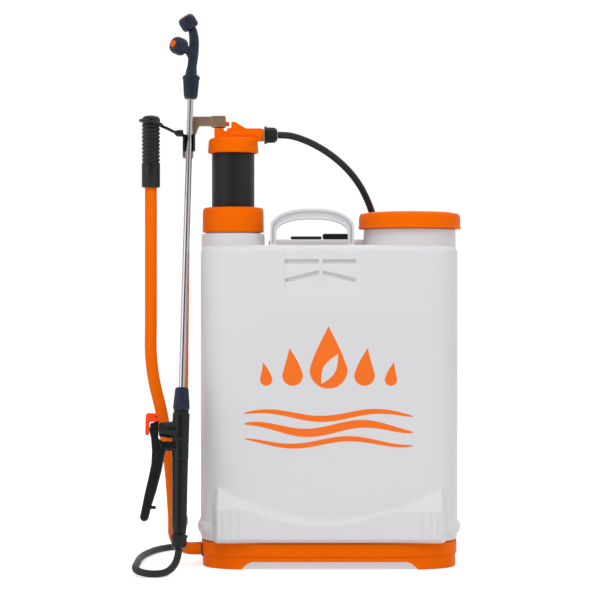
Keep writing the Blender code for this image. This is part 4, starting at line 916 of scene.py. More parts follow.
@dataclass
class Tank:
    """Blow-moulded white tank with its two necks and the ridge that carries the straps."""

    shop: Workshop
    sizes: TankSizes = TankSizes()

    def outline(self, inset: float, fine: float = 1.4 * MM, coarse: float = 4 * MM) -> np.ndarray:
        """Return the tank's outline from above, closer set along the front.

        Args:
            inset: how far inside the outer wall.
            fine: the step along the front.
            coarse: the step elsewhere.

        Returns:
            X and Y of each point.
        """
        s = self.sizes
        turn = np.linspace(0, 2 * math.pi, 4001)[:-1]
        c, d = np.cos(turn), np.sin(turn)
        power = 2 / s.power
        half_width, half_depth = s.half_width - inset, s.half_depth - inset
        across = half_width * np.sign(c) * np.abs(c) ** power
        along = half_depth * np.sign(d) * np.abs(d) ** power
        reach = np.minimum(1.0, np.abs(across) / (0.85 * half_width))
        dent = s.hollow * 0.5 * (1 + np.cos(math.pi * reach)) * along / half_depth
        along = along - np.where(along > 0, dent, 0)
        line = np.stack([across, along], axis=1)
        ring = np.vstack([line, line[:1]])
        run = np.linalg.norm(np.diff(ring, axis=0), axis=1)
        weight = run / np.where(line[:, 1] < -0.8 * s.half_depth, fine, coarse)
        total = np.concatenate([[0], np.cumsum(weight)])
        places = np.linspace(0, total[-1], int(total[-1]) + 1)[:-1]
        return np.stack([np.interp(places, total, ring[:, axis]) for axis in (0, 1)], axis=1)

    def levels(self) -> np.ndarray:
        """Return the heights of the skin's rows, closer set where there is detail."""
        s = self.sizes
        under = s.bottom + s.foot * (1 - np.cos(np.linspace(0, math.pi / 2, 5)))
        low = np.arange(s.bottom + 6.4 * MM, 110 * MM, 1.4 * MM)
        middle = np.arange(114 * MM, 324 * MM, 6 * MM)
        start, end = s.panel_rise
        high = np.concatenate([np.arange(start, end, 2 * MM), np.arange(end, s.top - s.rim, 0.6 * MM)])
        over = s.top - s.rim * (1 - np.sin(np.linspace(0, math.pi / 2, 9)))
        return np.concatenate([under, low, middle, high, over])

    def inset(self, height: float) -> float:
        """Round the tank's rims and raise the bead near its bottom.

        Args:
            height: where the wall is asked for.

        Returns:
            How far the wall stands in there.
        """
        s = self.sizes
        made = 0.0
        if height > s.top - s.rim:
            made = s.rim - math.sqrt(max(0.0, s.rim ** 2 - (height - s.top + s.rim) ** 2))
        if height < s.bottom + s.foot:
            made = s.foot - math.sqrt(max(0.0, s.foot ** 2 - (s.bottom + s.foot - height) ** 2))
        low, high, out, radius = s.bead
        near = min(height - low, high - height)
        if near > 0:
            lack = max(0.0, radius - near)
            made = min(made, radius - math.sqrt(radius ** 2 - lack ** 2) - out)
        return made

    def louvre(self, below: np.ndarray) -> np.ndarray:
        """Return a louvre's depth, as a share, at a distance below its upper edge."""
        return ease(below, 0, 1.3 * MM) * (1 - 0.55 * ease(below, 4.6 * MM, 6.4 * MM))

    def front(self, across: np.ndarray, along: np.ndarray, height: float) -> np.ndarray:
        """Shape the front wall: the bulge below, its flutes, and the louvred panels above.

        Args:
            across: X of the points of one row.
            along: Y of the points, which is changed.
            height: the row's height.

        Returns:
            The new Y of the points.
        """
        s = self.sizes
        line = np.array(smooth_line([(a, b, 0) for a, b in s.bulge_line], 12)) * MM
        edge = np.interp(across, line[:, 0], line[:, 1])
        brow = s.brow[0] + (s.brow[1] - s.brow[0]) * (across / s.bulge_half) ** 2
        face = -s.bulge + np.maximum(0, height - edge) * (s.bulge + along) / np.maximum(brow - edge, 4 * MM)
        face = face + np.maximum(0, np.abs(across) - s.bulge_half + 4 * MM) ** 2 / (2 * MM)
        face = face + max(0.0, s.bulge_low + 4 * MM - height) ** 2 / (4 * MM)
        groove = np.zeros_like(across)
        for place in s.flutes:
            near = np.abs(np.abs(across) - place)
            groove = np.maximum(groove, 1 - ease(near, 0.6 * MM, 2.6 * MM))
        tall = np.array(height)
        start, end = s.flute_rise
        face = face + s.flute * groove * (ease(np.full_like(across, height), *start) * (1 - ease(tall, *end)))
        made = np.where(along < -20 * MM, smooth_low(along, face, 2.5 * MM), along)
        soft = s.panel_edge
        left, right = s.panels[0][0] - soft, s.panels[1][1] + soft
        wide = ease(across, left - soft, left + soft) * (1 - ease(across, right - soft, right + soft))
        dent = s.panel_dent * wide * ease(tall, *s.panel_rise)
        for left, right, side in s.panels:
            inside = ease(across, left, left + 2 * soft) * (1 - ease(across, right - 2 * soft, right))
            low, rise = s.louvre_from
            upper = self.louvre(s.louvre_top - tall) * np.clip((height - low) / rise, 0, 1)
            share = (across - left) / (right - left)
            step = s.step_top - s.step_drop * (1 - share if side < 0 else share)
            low, rise = s.step_from
            lower = self.louvre(step - height) * np.clip((height - low) / rise, 0, 1)
            dent = dent + inside * s.louvre_depth * np.maximum(upper, lower)
        return made + np.where(along < -60 * MM, dent, 0)

    def skin(self) -> Piece:
        """Return the tank's closed outer skin."""
        s = self.sizes
        base = self.outline(0)
        count = len(base)
        rows = []
        for height in self.levels():
            inset = self.inset(float(height))
            scale = np.array([(s.half_width - inset) / s.half_width, (s.half_depth - inset) / s.half_depth])
            ring = base * scale
            along = self.front(ring[:, 0], ring[:, 1], float(height))
            rows.append(np.stack([ring[:, 0], along, np.full(count, height)], axis=1))
        return ringed("tank_body", np.concatenate(rows).tolist(), count)

    def hollow(self) -> Piece:
        """Return the space inside the tank."""
        s = self.sizes
        ring = self.outline(2 * s.wall, 8 * MM, 8 * MM).tolist()
        return prism("hollow", ring, s.bottom + s.wall, s.top - s.wall, "Z")

    def bore(self, place: float, radius: float) -> Piece:
        """Return a round hole through the deck.

        Args:
            place: X of its middle.
            radius: its radius.

        Returns:
            The hole as a solid.
        """
        deck = self.sizes.deck
        return lathe("bore", bar(radius, deck, deck + 50 * MM), 72, at=beside(place))

    def build(self) -> None:
        """Make the tank's skin, necks and ridge."""
        s = self.sizes
        body = cut(self.skin(), self.hollow(), self.bore(s.pump, s.pump_bore),
                   self.bore(s.filler, s.filler_bore))
        self.shop.fit(body, TANK_WHITE, "frame", ["tank"], crease=32)
        pump = [(31.3, 384), (39.5, 384), (39.4, 409.5), (33.6, 409.5), (33.6, 428), (31.3, 428)]
        rise = [(50, 384), (57.8, 384), (57.2, 415.2), (54, 415.2), (54, 426), (50, 426)]
        for name, corners, place, steps in (("tank_pump_neck", pump, s.pump, 96),
                                            ("tank_filler_neck", rise, s.filler, 128)):
            neck = lathe(name, in_mm(fillet(corners, 1.6, 4, True)), steps, True)
            self.shop.fit(neck, TANK_WHITE, "frame", matrix=beside(place))
        ridge = block("tank_strap_ridge", (-76, 38, 385), (48, 66, 404))
        self.shop.fit(bevel(ridge, 4 * MM, 5), TANK_WHITE, "frame")


@dataclass
class Base:
    """Orange skirt under the tank: two feet, an arch between them and the lever's shaft seat."""

    shop: Workshop
    tank: Tank
    shaft: Point3 = (0, -34 * MM, 20.5 * MM)
    bore: float = 9.4 * MM

    def skin(self) -> Piece:
        """Return the closed outer skin, with the step line half way up."""
        rows = [(4.0, 0.0), (3.1, 0.35), (2.5, 1.3), (2.5, 15.2), (2.4, 15.7), (1.3, 16.1), (1.0, 16.8),
                (1.0, 30.8), (1.2, 31.4), (1.8, 31.8)]
        ring = self.tank.outline(0, 2.5 * MM, 2.5 * MM)
        s = self.tank.sizes
        points: list[Point3] = []
        for inset, height in rows:
            scale = ((s.half_width - inset * MM) / s.half_width, (s.half_depth - inset * MM) / s.half_depth)
            points += [(across * scale[0], along * scale[1], height * MM) for across, along in ring.tolist()]
        return ringed("base_skirt", points, len(ring))

    def hole(self, low: float, high: float) -> Piece:
        """Return the tool that cuts the shaft's hole.

        Args:
            low: X of its left end.
            high: X of its right end.

        Returns:
            The tool.
        """
        return lathe("hole", bar(self.bore, low, high), 40, at=along_x(self.shaft))

    def build(self) -> None:
        """Make the skirt, hollow it and cut its arch and shaft hole."""
        inner = prism("inner", self.tank.outline(4.5 * MM, 6 * MM, 6 * MM).tolist(), 3 * MM, 28.5 * MM, "Z")
        corners = [(-112, -3), (-108.6, -1), (-97, 9.7), (97, 9.7), (108.6, -1), (112, -3)]
        arch = fillet(in_mm(corners), 6 * MM, 5)
        skirt = cut(self.skin(), inner, prism("arch", arch, -0.12, 0.12), self.hole(-0.17, -0.06))
        self.shop.fit(skirt, ORANGE, "frame", ["base"], crease=30)
        web = block("base_web", (-78, -49, 9.9), (-72, -19, 29))
        self.shop.fit(cut(web, self.hole(-0.09, -0.06)), ORANGE, "frame")


@dataclass
class CarryHandle:
    """Arched carry handle with a recessed web between two rims."""

    shop: Workshop
    place: Point3 = (-21 * MM, -24 * MM, 0)

    def arch(self, half: float, top: float, shoulder: float, foot: float) -> list[Point2]:
        """Return a flattened arch from its left foot to its right one.

        Args:
            half: half its width.
            top: its highest point.
            shoulder: where it starts to bend.
            foot: its lowest point.

        Returns:
            X and Z of each point.
        """
        made = [(-half, foot)]
        for step in range(49):
            turn = math.pi - math.pi * step / 48
            c, s = math.cos(turn), math.sin(turn)
            made.append((half * math.copysign(abs(c) ** 0.8, c), shoulder + (top - shoulder) * s ** 1.1))
        made.append((half, foot))
        return made

    def band(self, outer: Sequence[float], inner: Sequence[float], low: float, high: float) -> Piece:
        """Return the solid between two arches.

        Args:
            outer: half width, top, shoulder and foot of the outer arch, in millimetres.
            inner: the same of the inner arch.
            low: its front.
            high: its back.

        Returns:
            The band.
        """
        over = self.arch(*[value * MM for value in outer])
        under = self.arch(*[value * MM for value in inner])
        return prism("carry_handle_band", over + under[::-1], low, high)

    def build(self) -> None:
        """Make the handle."""
        outer, inner = (51.8, 440, 418, 392), (44.3, 427, 412, 392)
        handle = self.band(outer, inner, -13 * MM, 13 * MM)
        shelf_outer, shelf_inner = (49.0, 436.8, 416.2, 396.5), (46.9, 429.0, 413.2, 396.5)
        for low, high in ((-15 * MM, -9 * MM), (9 * MM, 15 * MM)):
            handle = cut(handle, self.band(shelf_outer, shelf_inner, low, high))
        handle = bevel(handle, 0.6 * MM, 3, 40)
        self.shop.fit(handle, TANK_WHITE, "frame", ["carry_handle"], Matrix.Translation(self.place), 50)


@dataclass
class Filler:
    """Screw lid, its gasket and the strainer that hangs in the filler neck."""

    shop: Workshop
    at: Matrix

    def lid(self) -> Piece:
        """Return the lid: a shallow dome with a rounded rim and a thin flange below."""
        corners = [(0, 437.5), (30, 437.2), (50, 436.3), (61.6, 434.4), (63.2, 430), (63.3, 419), (64, 417.6),
                   (64, 415.5), (54.7, 415.5), (54.7, 431.4), (0, 431.4)]
        return lathe("filler_lid", fillet(in_mm(corners), 2.2 * MM, 6), 160)

    def strainer(self) -> Piece:
        """Return the strainer basket, a tapered cup that hangs by its flange."""
        corners = [(0, 370), (43.2, 370), (48.1, 428.3), (53, 428.3), (53, 426.3), (49.7, 426.3),
                   (44.7, 368.3), (0, 368.3)]
        return lathe("filler_strainer", fillet(in_mm(corners), 0.8 * MM, 3), 144)

    def build(self) -> None:
        """Make the lid and strainer and dress the gasket."""
        self.shop.fit(self.lid(), ORANGE, "lid", ["lid"], self.at, 30)
        self.shop.fit(self.strainer(), BLACK, "frame", ["strainer_basket"], self.at)
        self.shop.dress("lid_gasket", RUBBER, 0.4 * MM)


@dataclass
class Pump:
    """Ring nut, air chamber and cap of the pump, with the inner parts as they are."""

    shop: Workshop
    at: Matrix
    spout: float = 533 * MM

    def ring_nut(self) -> Piece:
        """Return the ring nut: a plain drum with a round shoulder."""
        corners = [(33.0, 442.5), (37.0, 441.6), (38.0, 437), (38.3, 412.6), (37.7, 411.3), (34.3, 411.3),
                   (34.3, 435.6), (26.9, 435.6), (26.9, 442.5)]
        return lathe("pump_ring", fillet(in_mm(corners), 2.6 * MM, 6, True), 128, True)

    def chamber(self) -> Piece:
        """Return the black air chamber, a plain tube."""
        corners = [(26.6, 352), (26.6, 522), (24.1, 522), (24.1, 352)]
        return lathe("pump_chamber", in_mm(fillet(corners, 0.5, 3, True)), 96, True)

    def cap(self) -> Piece:
        """Return the cap: crown, post, gusset and spout flowing into each other."""
        corners = [(0, 529), (27.5, 529), (30.6, 526), (31.6, 511.6), (31, 510), (26.9, 510),
                   (26.9, 524.3), (0, 524.3)]
        crown = lathe("crown", in_mm(fillet(corners, 1.6, 5)), 128)
        side = [(-23.4, 526), (-23.4, 541.5), (-11.5, 541.5), (-11.5, 538), (-7.4, 538), (-7.4, 541.6),
                (-2.2, 541.6), (-2.2, 549.5), (2, 549.5), (16.5, 541.2), (36, 541.2), (36, 526)]
        gusset = bevel(plate("gusset", side, 1.2, -6.6, 6.6), 1.4 * MM, 4, 50)
        line = in_mm([(0, -4), (7.6, -4), (7.8, 38.4), (0, 38.4)])
        spout = lathe("spout", line, 64, at=along_x((0, 0, self.spout)))
        return moulded("pump_cap_moulding", [crown, gusset, spout], 0.55 * MM, 3)

    def hose_nut(self) -> Piece:
        """Return the ribbed nut that holds the hose on the spout."""
        corners = [(2.8, 0), (11.3, 0), (11.3, 2.6), (9.6, 3.4), (9.2, 13.4), (6.6, 16.5), (2.8, 16.5)]
        line = fillet(in_mm(corners), 0.7 * MM, 4, True)

        def ribs(radius: float, height: float, turn: float) -> float:
            """Raise ribs round the nut's waist."""
            waist = 4 * MM < height < 13 * MM and radius > 8 * MM
            return radius + (0.35 * MM * math.cos(18 * turn) if waist else 0)

        return lathe("pump_hose_gland", line, 180, True, ribs, along_x((38.9 * MM, 0, self.spout)))

    def build(self) -> None:
        """Make the outer pieces and dress the inner ones."""
        self.shop.fit(self.ring_nut(), ORANGE, "ring_nut", ["pump_ring_nut"], self.at, 30)
        self.shop.fit(self.chamber(), CHAMBER, "pump", ["air_chamber"], self.at)
        self.shop.fit(self.cap(), ORANGE, "pump", ["pump_cap"], self.at, 50)
        self.shop.fit(self.hose_nut(), BLACK, "pump", ["pump_hose_nut"], self.at)
        for node in ("pump_barrel", "piston", "suction_pipe"):
            self.shop.dress(node, BLACK, 0.4 * MM)
        for node in ("piston_cup", "wiper_seal", "cap_seal"):
            self.shop.dress(node, RUBBER, 0.3 * MM)
        for node in ("suction_valve_ball", "discharge_valve_ball"):
            self.shop.dress(node, STEEL)


@dataclass(frozen=True)
class DriveSizes:
    """Places of the lever, its crank and the connecting rod, with X from the tank's middle."""

    tube: float = 7.4 * MM
    shaft_end: float = -62 * MM
    bend_start: float = -169 * MM
    bend: float = 22.5 * MM
    along: float = Base.shaft[1]
    shaft: float = Base.shaft[2]
    grip_x: float = -219.9 * MM
    grip_low: float = 465.5 * MM
    grip_top: float = 554.7 * MM
    grip: float = 11.4 * MM
    rod_x: float = -176 * MM
    rod_foot: float = -180.3 * MM
    rod: float = 3.2 * MM
    rod_top: float = 512 * MM
    pump: float = TankSizes.pump
    rise: tuple[Point2, ...] = ((-191.5, 60), (-196.3, 122), (-206, 184), (-216, 228), (-219.9, 262),
                                (-219.9, 300))
    ring_pitch: float = 4.7 * MM
    ring_depth: float = 1.3 * MM
    rings: int = 11
    cord: float = 1.9 * MM
    eye_half: float = 2.5 * MM
    upper_eye: float = 5.5 * MM
    lower_eye: float = 10 * MM
    rod_pin: float = 2.3 * MM
    crank_pin: float = 3.8 * MM
    crank: float = 40 * MM
    lean: float = math.radians(52)
    swing: float = math.radians(66)


@dataclass
class Drive:
    """Lever with its grip and strap, crank, connecting rod and the bracket on the pump's cap."""

    shop: Workshop
    sizes: DriveSizes = DriveSizes()

    def lever(self) -> Piece:
        """Return the bent lever tube."""
        s = self.sizes
        line = [Vector((s.shaft_end, s.along, s.shaft))]
        for step in range(25):
            turn = math.pi / 2 * step / 24
            line.append(Vector((s.bend_start - s.bend * math.sin(turn), s.along,
                                s.shaft + s.bend * (1 - math.cos(turn)))))
        line += smooth_line([(across * MM, s.along, up * MM) for across, up in s.rise], 12)
        line.append(Vector((s.grip_x, s.along, s.grip_top - 6.5 * MM)))
        return sweep("lever_pipe", line, s.tube, 40)

    def grip(self) -> Piece:
        """Return the rubber grip, ringed over its upper half."""
        s = self.sizes
        line: list[Point2] = [(0, s.grip_top)]
        line += [(s.grip * math.sin(turn) ** 0.6, s.grip_top - 6 * MM * (1 - math.cos(turn)))
                 for turn in (math.pi / 2 * step / 8 for step in range(1, 9))]
        start = s.grip_top - 8 * MM
        for step in range(8 * s.rings + 1):
            wave = 0.5 - 0.5 * math.cos(2 * math.pi * step / 8)
            line.append((s.grip - s.ring_depth * wave ** 1.5, start - s.ring_pitch * step / 8))
        low, bore = s.grip_low, s.tube + 0.2 * MM
        line += [(s.grip, start - 53.7 * MM), (s.grip, low + 1.8 * MM), (s.grip - 0.5 * MM, low + 0.5 * MM),
                 (s.grip - 1.8 * MM, low), (bore, low), (bore, low + 4 * MM), (0, low + 4 * MM)]
        return lathe("lever_hand_grip", line, 64, at=Matrix.Translation((s.grip_x, s.along, 0)))

    def strap(self) -> Piece:
        """Return the rubber strap that is looped round the grip and points towards the clip."""
        s = self.sizes
        centre = Vector((s.grip_x, s.along, s.grip_top - 9 * MM))
        reach = s.grip + s.cord
        loop: list[Vector] = []
        for step in range(57):
            turn = math.radians(75 + 340 * step / 56)
            tilt = Vector((math.cos(turn), math.sin(turn), -0.2 * math.cos(turn) + 0.0006 * step))
            loop.append(centre + tilt * reach)
        steps = ((19, -1, -6.6), (27, 4, -10.2), (33, 7, -12.4))
        tail = smooth_line([loop[-1]] + [centre + Vector(step) * MM for step in steps], 10)
        return sweep("lever_strap", loop + tail[1:], s.cord, 14, 0.9, (0, 0, 1))

    def fitting(self) -> Piece:
        """Return the end fitting of the strap."""
        s = self.sizes
        corners = [(0, 0), (2.2, 0.2), (4.2, 3.4), (4.4, 10.4), (0, 11)]
        place = (s.grip_x + 28.9 * MM, s.along + 7 * MM, s.grip_top - 21.4 * MM)
        return lathe("lever_strap_end", fillet(in_mm(corners), 0.8 * MM, 4), 28, at=along_x(place))

    def tab(self, first: Vector, second: Vector, radii: Point2, low: float, high: float) -> Piece:
        """Return a flat plate across X that hugs two round ends.

        Args:
            first: Y and Z of one end.
            second: Y and Z of the other.
            radii: the radius of each end.
            low: its left face.
            high: its right face.

        Returns:
            The plate.
        """
        heading = math.atan2((second - first).y, (second - first).x)
        line: list[Point2] = []
        for end, radius, start in ((first, radii[0], math.pi / 2), (second, radii[1], -math.pi / 2)):
            turns = [heading + (start + math.pi * step / 20) for step in range(21)]
            line += [(end.x + radius * math.cos(turn), end.y + radius * math.sin(turn)) for turn in turns]
        return prism("tab", line, low, high, "X")

    def pin(self, place: Vector, low: float, high: float, radius: float) -> Piece:
        """Return a plain round bar along X.

        Args:
            place: Y and Z of its axis.
            low: its left end.
            high: its right end.
            radius: its radius.

        Returns:
            The bar.
        """
        return lathe("bar", bar(radius, low, high), 36, at=along_x((0, place.x, place.y)))

    def rod_piece(self) -> Piece:
        """Return the connecting rod with its plain upper eye and slotted lower eye."""
        s = self.sizes
        turns = [s.lean - part * s.swing for part in (0.0, 0.5, 1.0)]
        ends = [Vector((s.along + s.crank * math.cos(turn), s.shaft + s.crank * math.sin(turn)))
                for turn in turns]
        sag = ends[1] - (ends[0] + ends[2]) / 2
        top, eye = Vector((0, s.rod_top)), ends[0] + sag / 2
        run = (eye - top).normalized()
        low, high = s.rod_x - s.eye_half, s.rod_x + s.eye_half
        upper = cut(self.tab(top, top + 18 * MM * run, (s.upper_eye, s.rod), low, high),
                    self.pin(top, low - MM, high + MM, s.rod_pin))
        low, high = s.rod_foot - s.eye_half, s.rod_foot + s.eye_half
        wide = s.crank_pin + sag.y / 2
        reach = Vector((abs(sag.x) / 2, 0))
        lower = cut(self.tab(eye, eye - 22 * MM * run, (s.lower_eye, s.rod), low, high),
                    self.tab(eye - reach, eye + reach, (wide, wide), low - MM, high + MM))
        start, end = top + 12 * MM * run, eye - 14 * MM * run
        stem = sweep("stem", [(s.rod_x, *start), (s.rod_foot, *end)], s.rod, 32)
        return merge("drive_rod", [bevel(upper, 0.5 * MM, 2), bevel(lower, 0.5 * MM, 2), stem])

    def bracket(self) -> Piece:
        """Return the cast elbow: a block on the post, an arm, and a forked leg."""
        s = self.sizes
        rod = (s.rod_x - s.pump) / MM
        body = bevel(block("body", (-27.6, -8, 542.2), (-9, 8, 557)), 2.2 * MM, 4)
        side = [(-22, 544.2), (-22, 556), (rod + 2, 556), (rod - 1, 553), (rod - 1, 528), (rod - 6.5, 525),
                (rod - 6.5, 504), (rod + 6.5, 504), (rod + 7.5, 528), (rod + 14, 544.2)]
        arm = bevel(plate("arm", side, 1.6, -6, 6), 1.2 * MM, 3, 50)
        cast = moulded("bracket_casting", [body, arm], 0.6 * MM, 2)
        return cut(cast, block("slot", (rod - 2.8, -8, 500), (rod + 2.8, 8, 521)))

    def clip(self) -> Piece:
        """Return the open clip that holds the lance."""
        corners = [(-61.9, -6.3), (-61.9, -22), (-59.4, -22), (-59.4, -11.8), (-49.1, -11.8), (-49.1, -22),
                   (-46.9, -22), (-46.9, -6.3)]
        return bevel(plate("bracket_clip", corners, 0.9, 512, 533, "Z"), 0.5 * MM, 2, 60)

    def screw(self) -> Piece:
        """Return the orange pin that fixes the bracket."""
        corners = [(0, -23.7), (2, -23.7), (2, -8.7), (3, -8.7), (3, -5.7), (2, -4.7), (0, -4.7)]
        return lathe("bracket_pin", fillet(in_mm(corners), 0.4 * MM, 3), 28, at=along_x((0, 0, 547 * MM)))

    def build(self) -> None:
        """Make the drive's pieces."""
        shop = self.shop
        pump = beside(self.sizes.pump)
        shop.fit(self.lever(), PAINT, "lever", ["lever_tube"], crease=60)
        shop.fit(self.grip(), RUBBER, "lever", ["lever_grip"], crease=60)
        shop.fit(self.strap(), RUBBER, "lever", ["retaining_strap"], crease=60)
        shop.fit(self.fitting(), RUBBER, "lever")
        shop.fit(self.rod_piece(), PAINT, "rod", ["connecting_rod"])
        shop.fit(self.bracket(), CAST, "pump", ["elbow_bracket"], pump)
        shop.fit(self.clip(), BLACK, "pump", ["lance_clip"], pump)
        shop.fit(self.screw(), ORANGE, "pump", ["bracket_screw"], pump)
        for node in ("crank_arm", "crank_pin", "rod_pin", "shaft_ring"):
            shop.dress(node, STEEL, 0.3 * MM)
        for node in ("shaft_bush_outer", "shaft_bush_inner"):
            shop.dress(node, BLACK, 0.3 * MM)


def along_axis(name: str, corners: Sequence[Point2], axis: str, place: Point3, rounding: float = 0.0,
               closed: bool = False, steps: int = 48, shape: Shape | None = None) -> Piece:
    """Turn a profile about a chosen axis.

    Args:
        name: the piece's name.
        corners: radius and distance along the axis, in millimetres.
        axis: X, Y or Z.
        place: where the axis lies, in millimetres.
        rounding: how far the corners are rounded, in millimetres.
        closed: whether the profile is a closed loop.
        steps: how many sides the piece has.
        shape: changes the radius, for ribs and flats.

    Returns:
        The turned piece.
    """
    line = fillet(corners, rounding, 4, closed) if rounding else list(corners)
    turn = {"X": Matrix.Rotation(math.pi / 2, 4, "Y"), "Y": Matrix.Rotation(-math.pi / 2, 4, "X"),
            "Z": Matrix.Identity(4)}[axis]
    return lathe(name, in_mm(line), steps, closed, shape, Matrix.Translation(Vector(place) * MM) @ turn)


def fluted(count: int, depth: float, low: float, high: float, least: float) -> Shape:
    """Return a shape that presses flutes into a turned piece.

    Args:
        count: how many flutes there are.
        depth: how deep they are, in millimetres.
        low: where they start, in millimetres.
        high: where they end.
        least: the radius below which the piece stays round.

    Returns:
        The function for lathe.
    """
    def shape(radius: float, height: float, turn: float) -> float:
        """Return the fluted radius."""
        inside = radius >= least * MM and low * MM <= height <= high * MM
        return radius - (depth * MM * max(0.0, math.cos(count * turn)) ** 2 if inside else 0)

    return shape


@dataclass(frozen=True)
class NozzleSizes:
    """Places of the two nozzle caps in the wand's frame, in millimetres."""

    upper: Point3 = (-5.2, -1.0, 463.5)
    upper_axis: Point3 = (-0.54, -0.355, 0.766)
    lower: Point3 = (-17.1, -14.9, 429.6)
    lower_axis: Point3 = (-0.78, -0.61, 0.145)
    half: float = 7.5


@dataclass
class Wand:
    """Chrome lance with its two gland nuts, the forked nozzle body and two nozzle caps."""

    shop: Workshop
    frame: Matrix
    sizes: NozzleSizes = NozzleSizes()

    def nozzle(self) -> Piece:
        """Return the nozzle body: a bent stem and a side branch that flow together."""
        s = self.sizes
        stem = smooth_line([(0, 0, 0.3954), (0, 0, 0.4004), (1.5 * MM, 0, 0.4174), (2.4 * MM, 0, 0.4394),
                            (0.6 * MM, 0.6 * MM, 0.4524), (-1.6 * MM, 1.4 * MM, 0.4586)], 8)
        heights = (0.3954, 0.401, 0.408, 0.425, 0.44, 0.4586)
        sizes = (7.4 * MM, 7.0 * MM, 5.9 * MM, 6.5 * MM, 6.2 * MM, 5.4 * MM)
        radii = [float(np.interp(point.z, heights, sizes)) for point in stem]
        trunk = sweep("trunk", stem, radii, 40)
        axis = Vector(s.lower_axis).normalized()
        end = Vector(s.lower) * MM - axis * (s.half + 0.4) * MM
        branch = sweep("branch", smooth_line([(2 * MM, 0, 0.4205), (-3 * MM, -4 * MM, 0.4258), end], 8),
                       [(7.2 - 1.9 * min(1.0, step / 12)) * MM for step in range(17)], 32)
        spigot = along_axis("spigot", bar(5, 381.5, 397.4), "Z", (0, 0, 0))
        return moulded("nozzle_fork", [trunk, branch, spigot], 0.5 * MM, 5)

    def cap(self, side: str) -> tuple[Piece, Piece]:
        """Return a nozzle cap and its orange tip.

        Args:
            side: upper or lower.

        Returns:
            The cap and the tip.
        """
        half = self.sizes.half
        tall = half + (2.6 if side == "upper" else 0.0)
        root = half + (0.0 if side == "upper" else 2.2)
        corners = [(5.2, tall - 0.6), (7.0, tall), (9.4, tall - 1.4), (10.9, tall - 5), (11, -root + 3.4),
                   (9.4, -root), (5.2, -root)]
        cap = along_axis("nozzle_nut_" + side, corners, "Z", (0, 0, 0), 1.3, True, 120,
                         fluted(12, 0.35, -root + 1.5, tall - 4, 9.0))
        corners = [(0.8, tall - 1.2), (2.2, tall + 0.4), (4.3, tall + 0.3), (4.7, tall - 1), (4.7, -half + 1),
                   (0.8, -half + 1)]
        tip = along_axis("nozzle_jet_" + side, corners, "Z", (0, 0, 0), 0.4, True)
        middle = Vector(self.sizes.upper if side == "upper" else self.sizes.lower) * MM
        axis = Vector(self.sizes.upper_axis if side == "upper" else self.sizes.lower_axis).normalized()
        place = Matrix.Translation(middle) @ Vector((0, 0, 1)).rotation_difference(axis).to_matrix().to_4x4()
        cap.data.transform(place)
        tip.data.transform(place)
        return cap, tip

    def build(self) -> None:
        """Make the wand's pieces."""
        shop, frame = self.shop, self.frame
        pipe = [(4, -25.7), (4, 380), (3.2, 380), (3.2, -25.7)]
        lance = along_axis("lance_pipe", pipe, "Z", (0, 0, 0), 0.2, True, 56)
        shop.fit(lance, CHROME, "frame", ["lance_tube"], frame)
        lower = [(4.3, 1.5), (7.2, 1.5), (8.2, 0.2), (10.0, -21), (10.2, -23.4), (9.2, -24.6), (9.2, -27.7),
                 (4.3, -27.7)]
        flutes = fluted(12, 0.7, -22, -1, 6)
        nut = along_axis("lance_low_gland", lower, "Z", (0, 0, 0), 0.8, True, 144, flutes)
        shop.fit(nut, NAVY, "frame", ["lance_lower_nut"], frame, 50)
        upper = [(5.2, 395), (9.8, 395), (10.9, 393.6), (10.9, 391.4), (10.3, 390.4), (8.8, 370), (7.6, 366),
                 (4.3, 366)]
        flutes = fluted(10, 1.0, 369, 391, 7)
        nut = along_axis("lance_top_gland", upper, "Z", (0, 0, 0), 0.9, True, 144, flutes)
        shop.fit(nut, NAVY, "frame", ["lance_upper_nut"], frame, 50)
        shop.fit(self.nozzle(), NAVY, "frame", ["nozzle_body"], frame, 70)
        for side in ("upper", "lower"):
            cap, tip = self.cap(side)
            shop.fit(cap, NAVY, side + "_cap", ["nozzle_cap_" + side], frame, 50)
            shop.fit(tip, ORANGE, side + "_cap", ["nozzle_tip_" + side], frame, 40)


@dataclass(frozen=True)
class GripSizes:
    """Places of the valve, its spring and the grip's lean, in the wand's frame."""

    valve: float = -50 * MM
    lean: float = 0.016
    lean_from: float = -60 * MM
    spring_start: float = -19.9 * MM
    spring_end: float = -4.8 * MM
    spring: float = 3.8 * MM
    wire: float = 0.55 * MM
    coils: int = 5


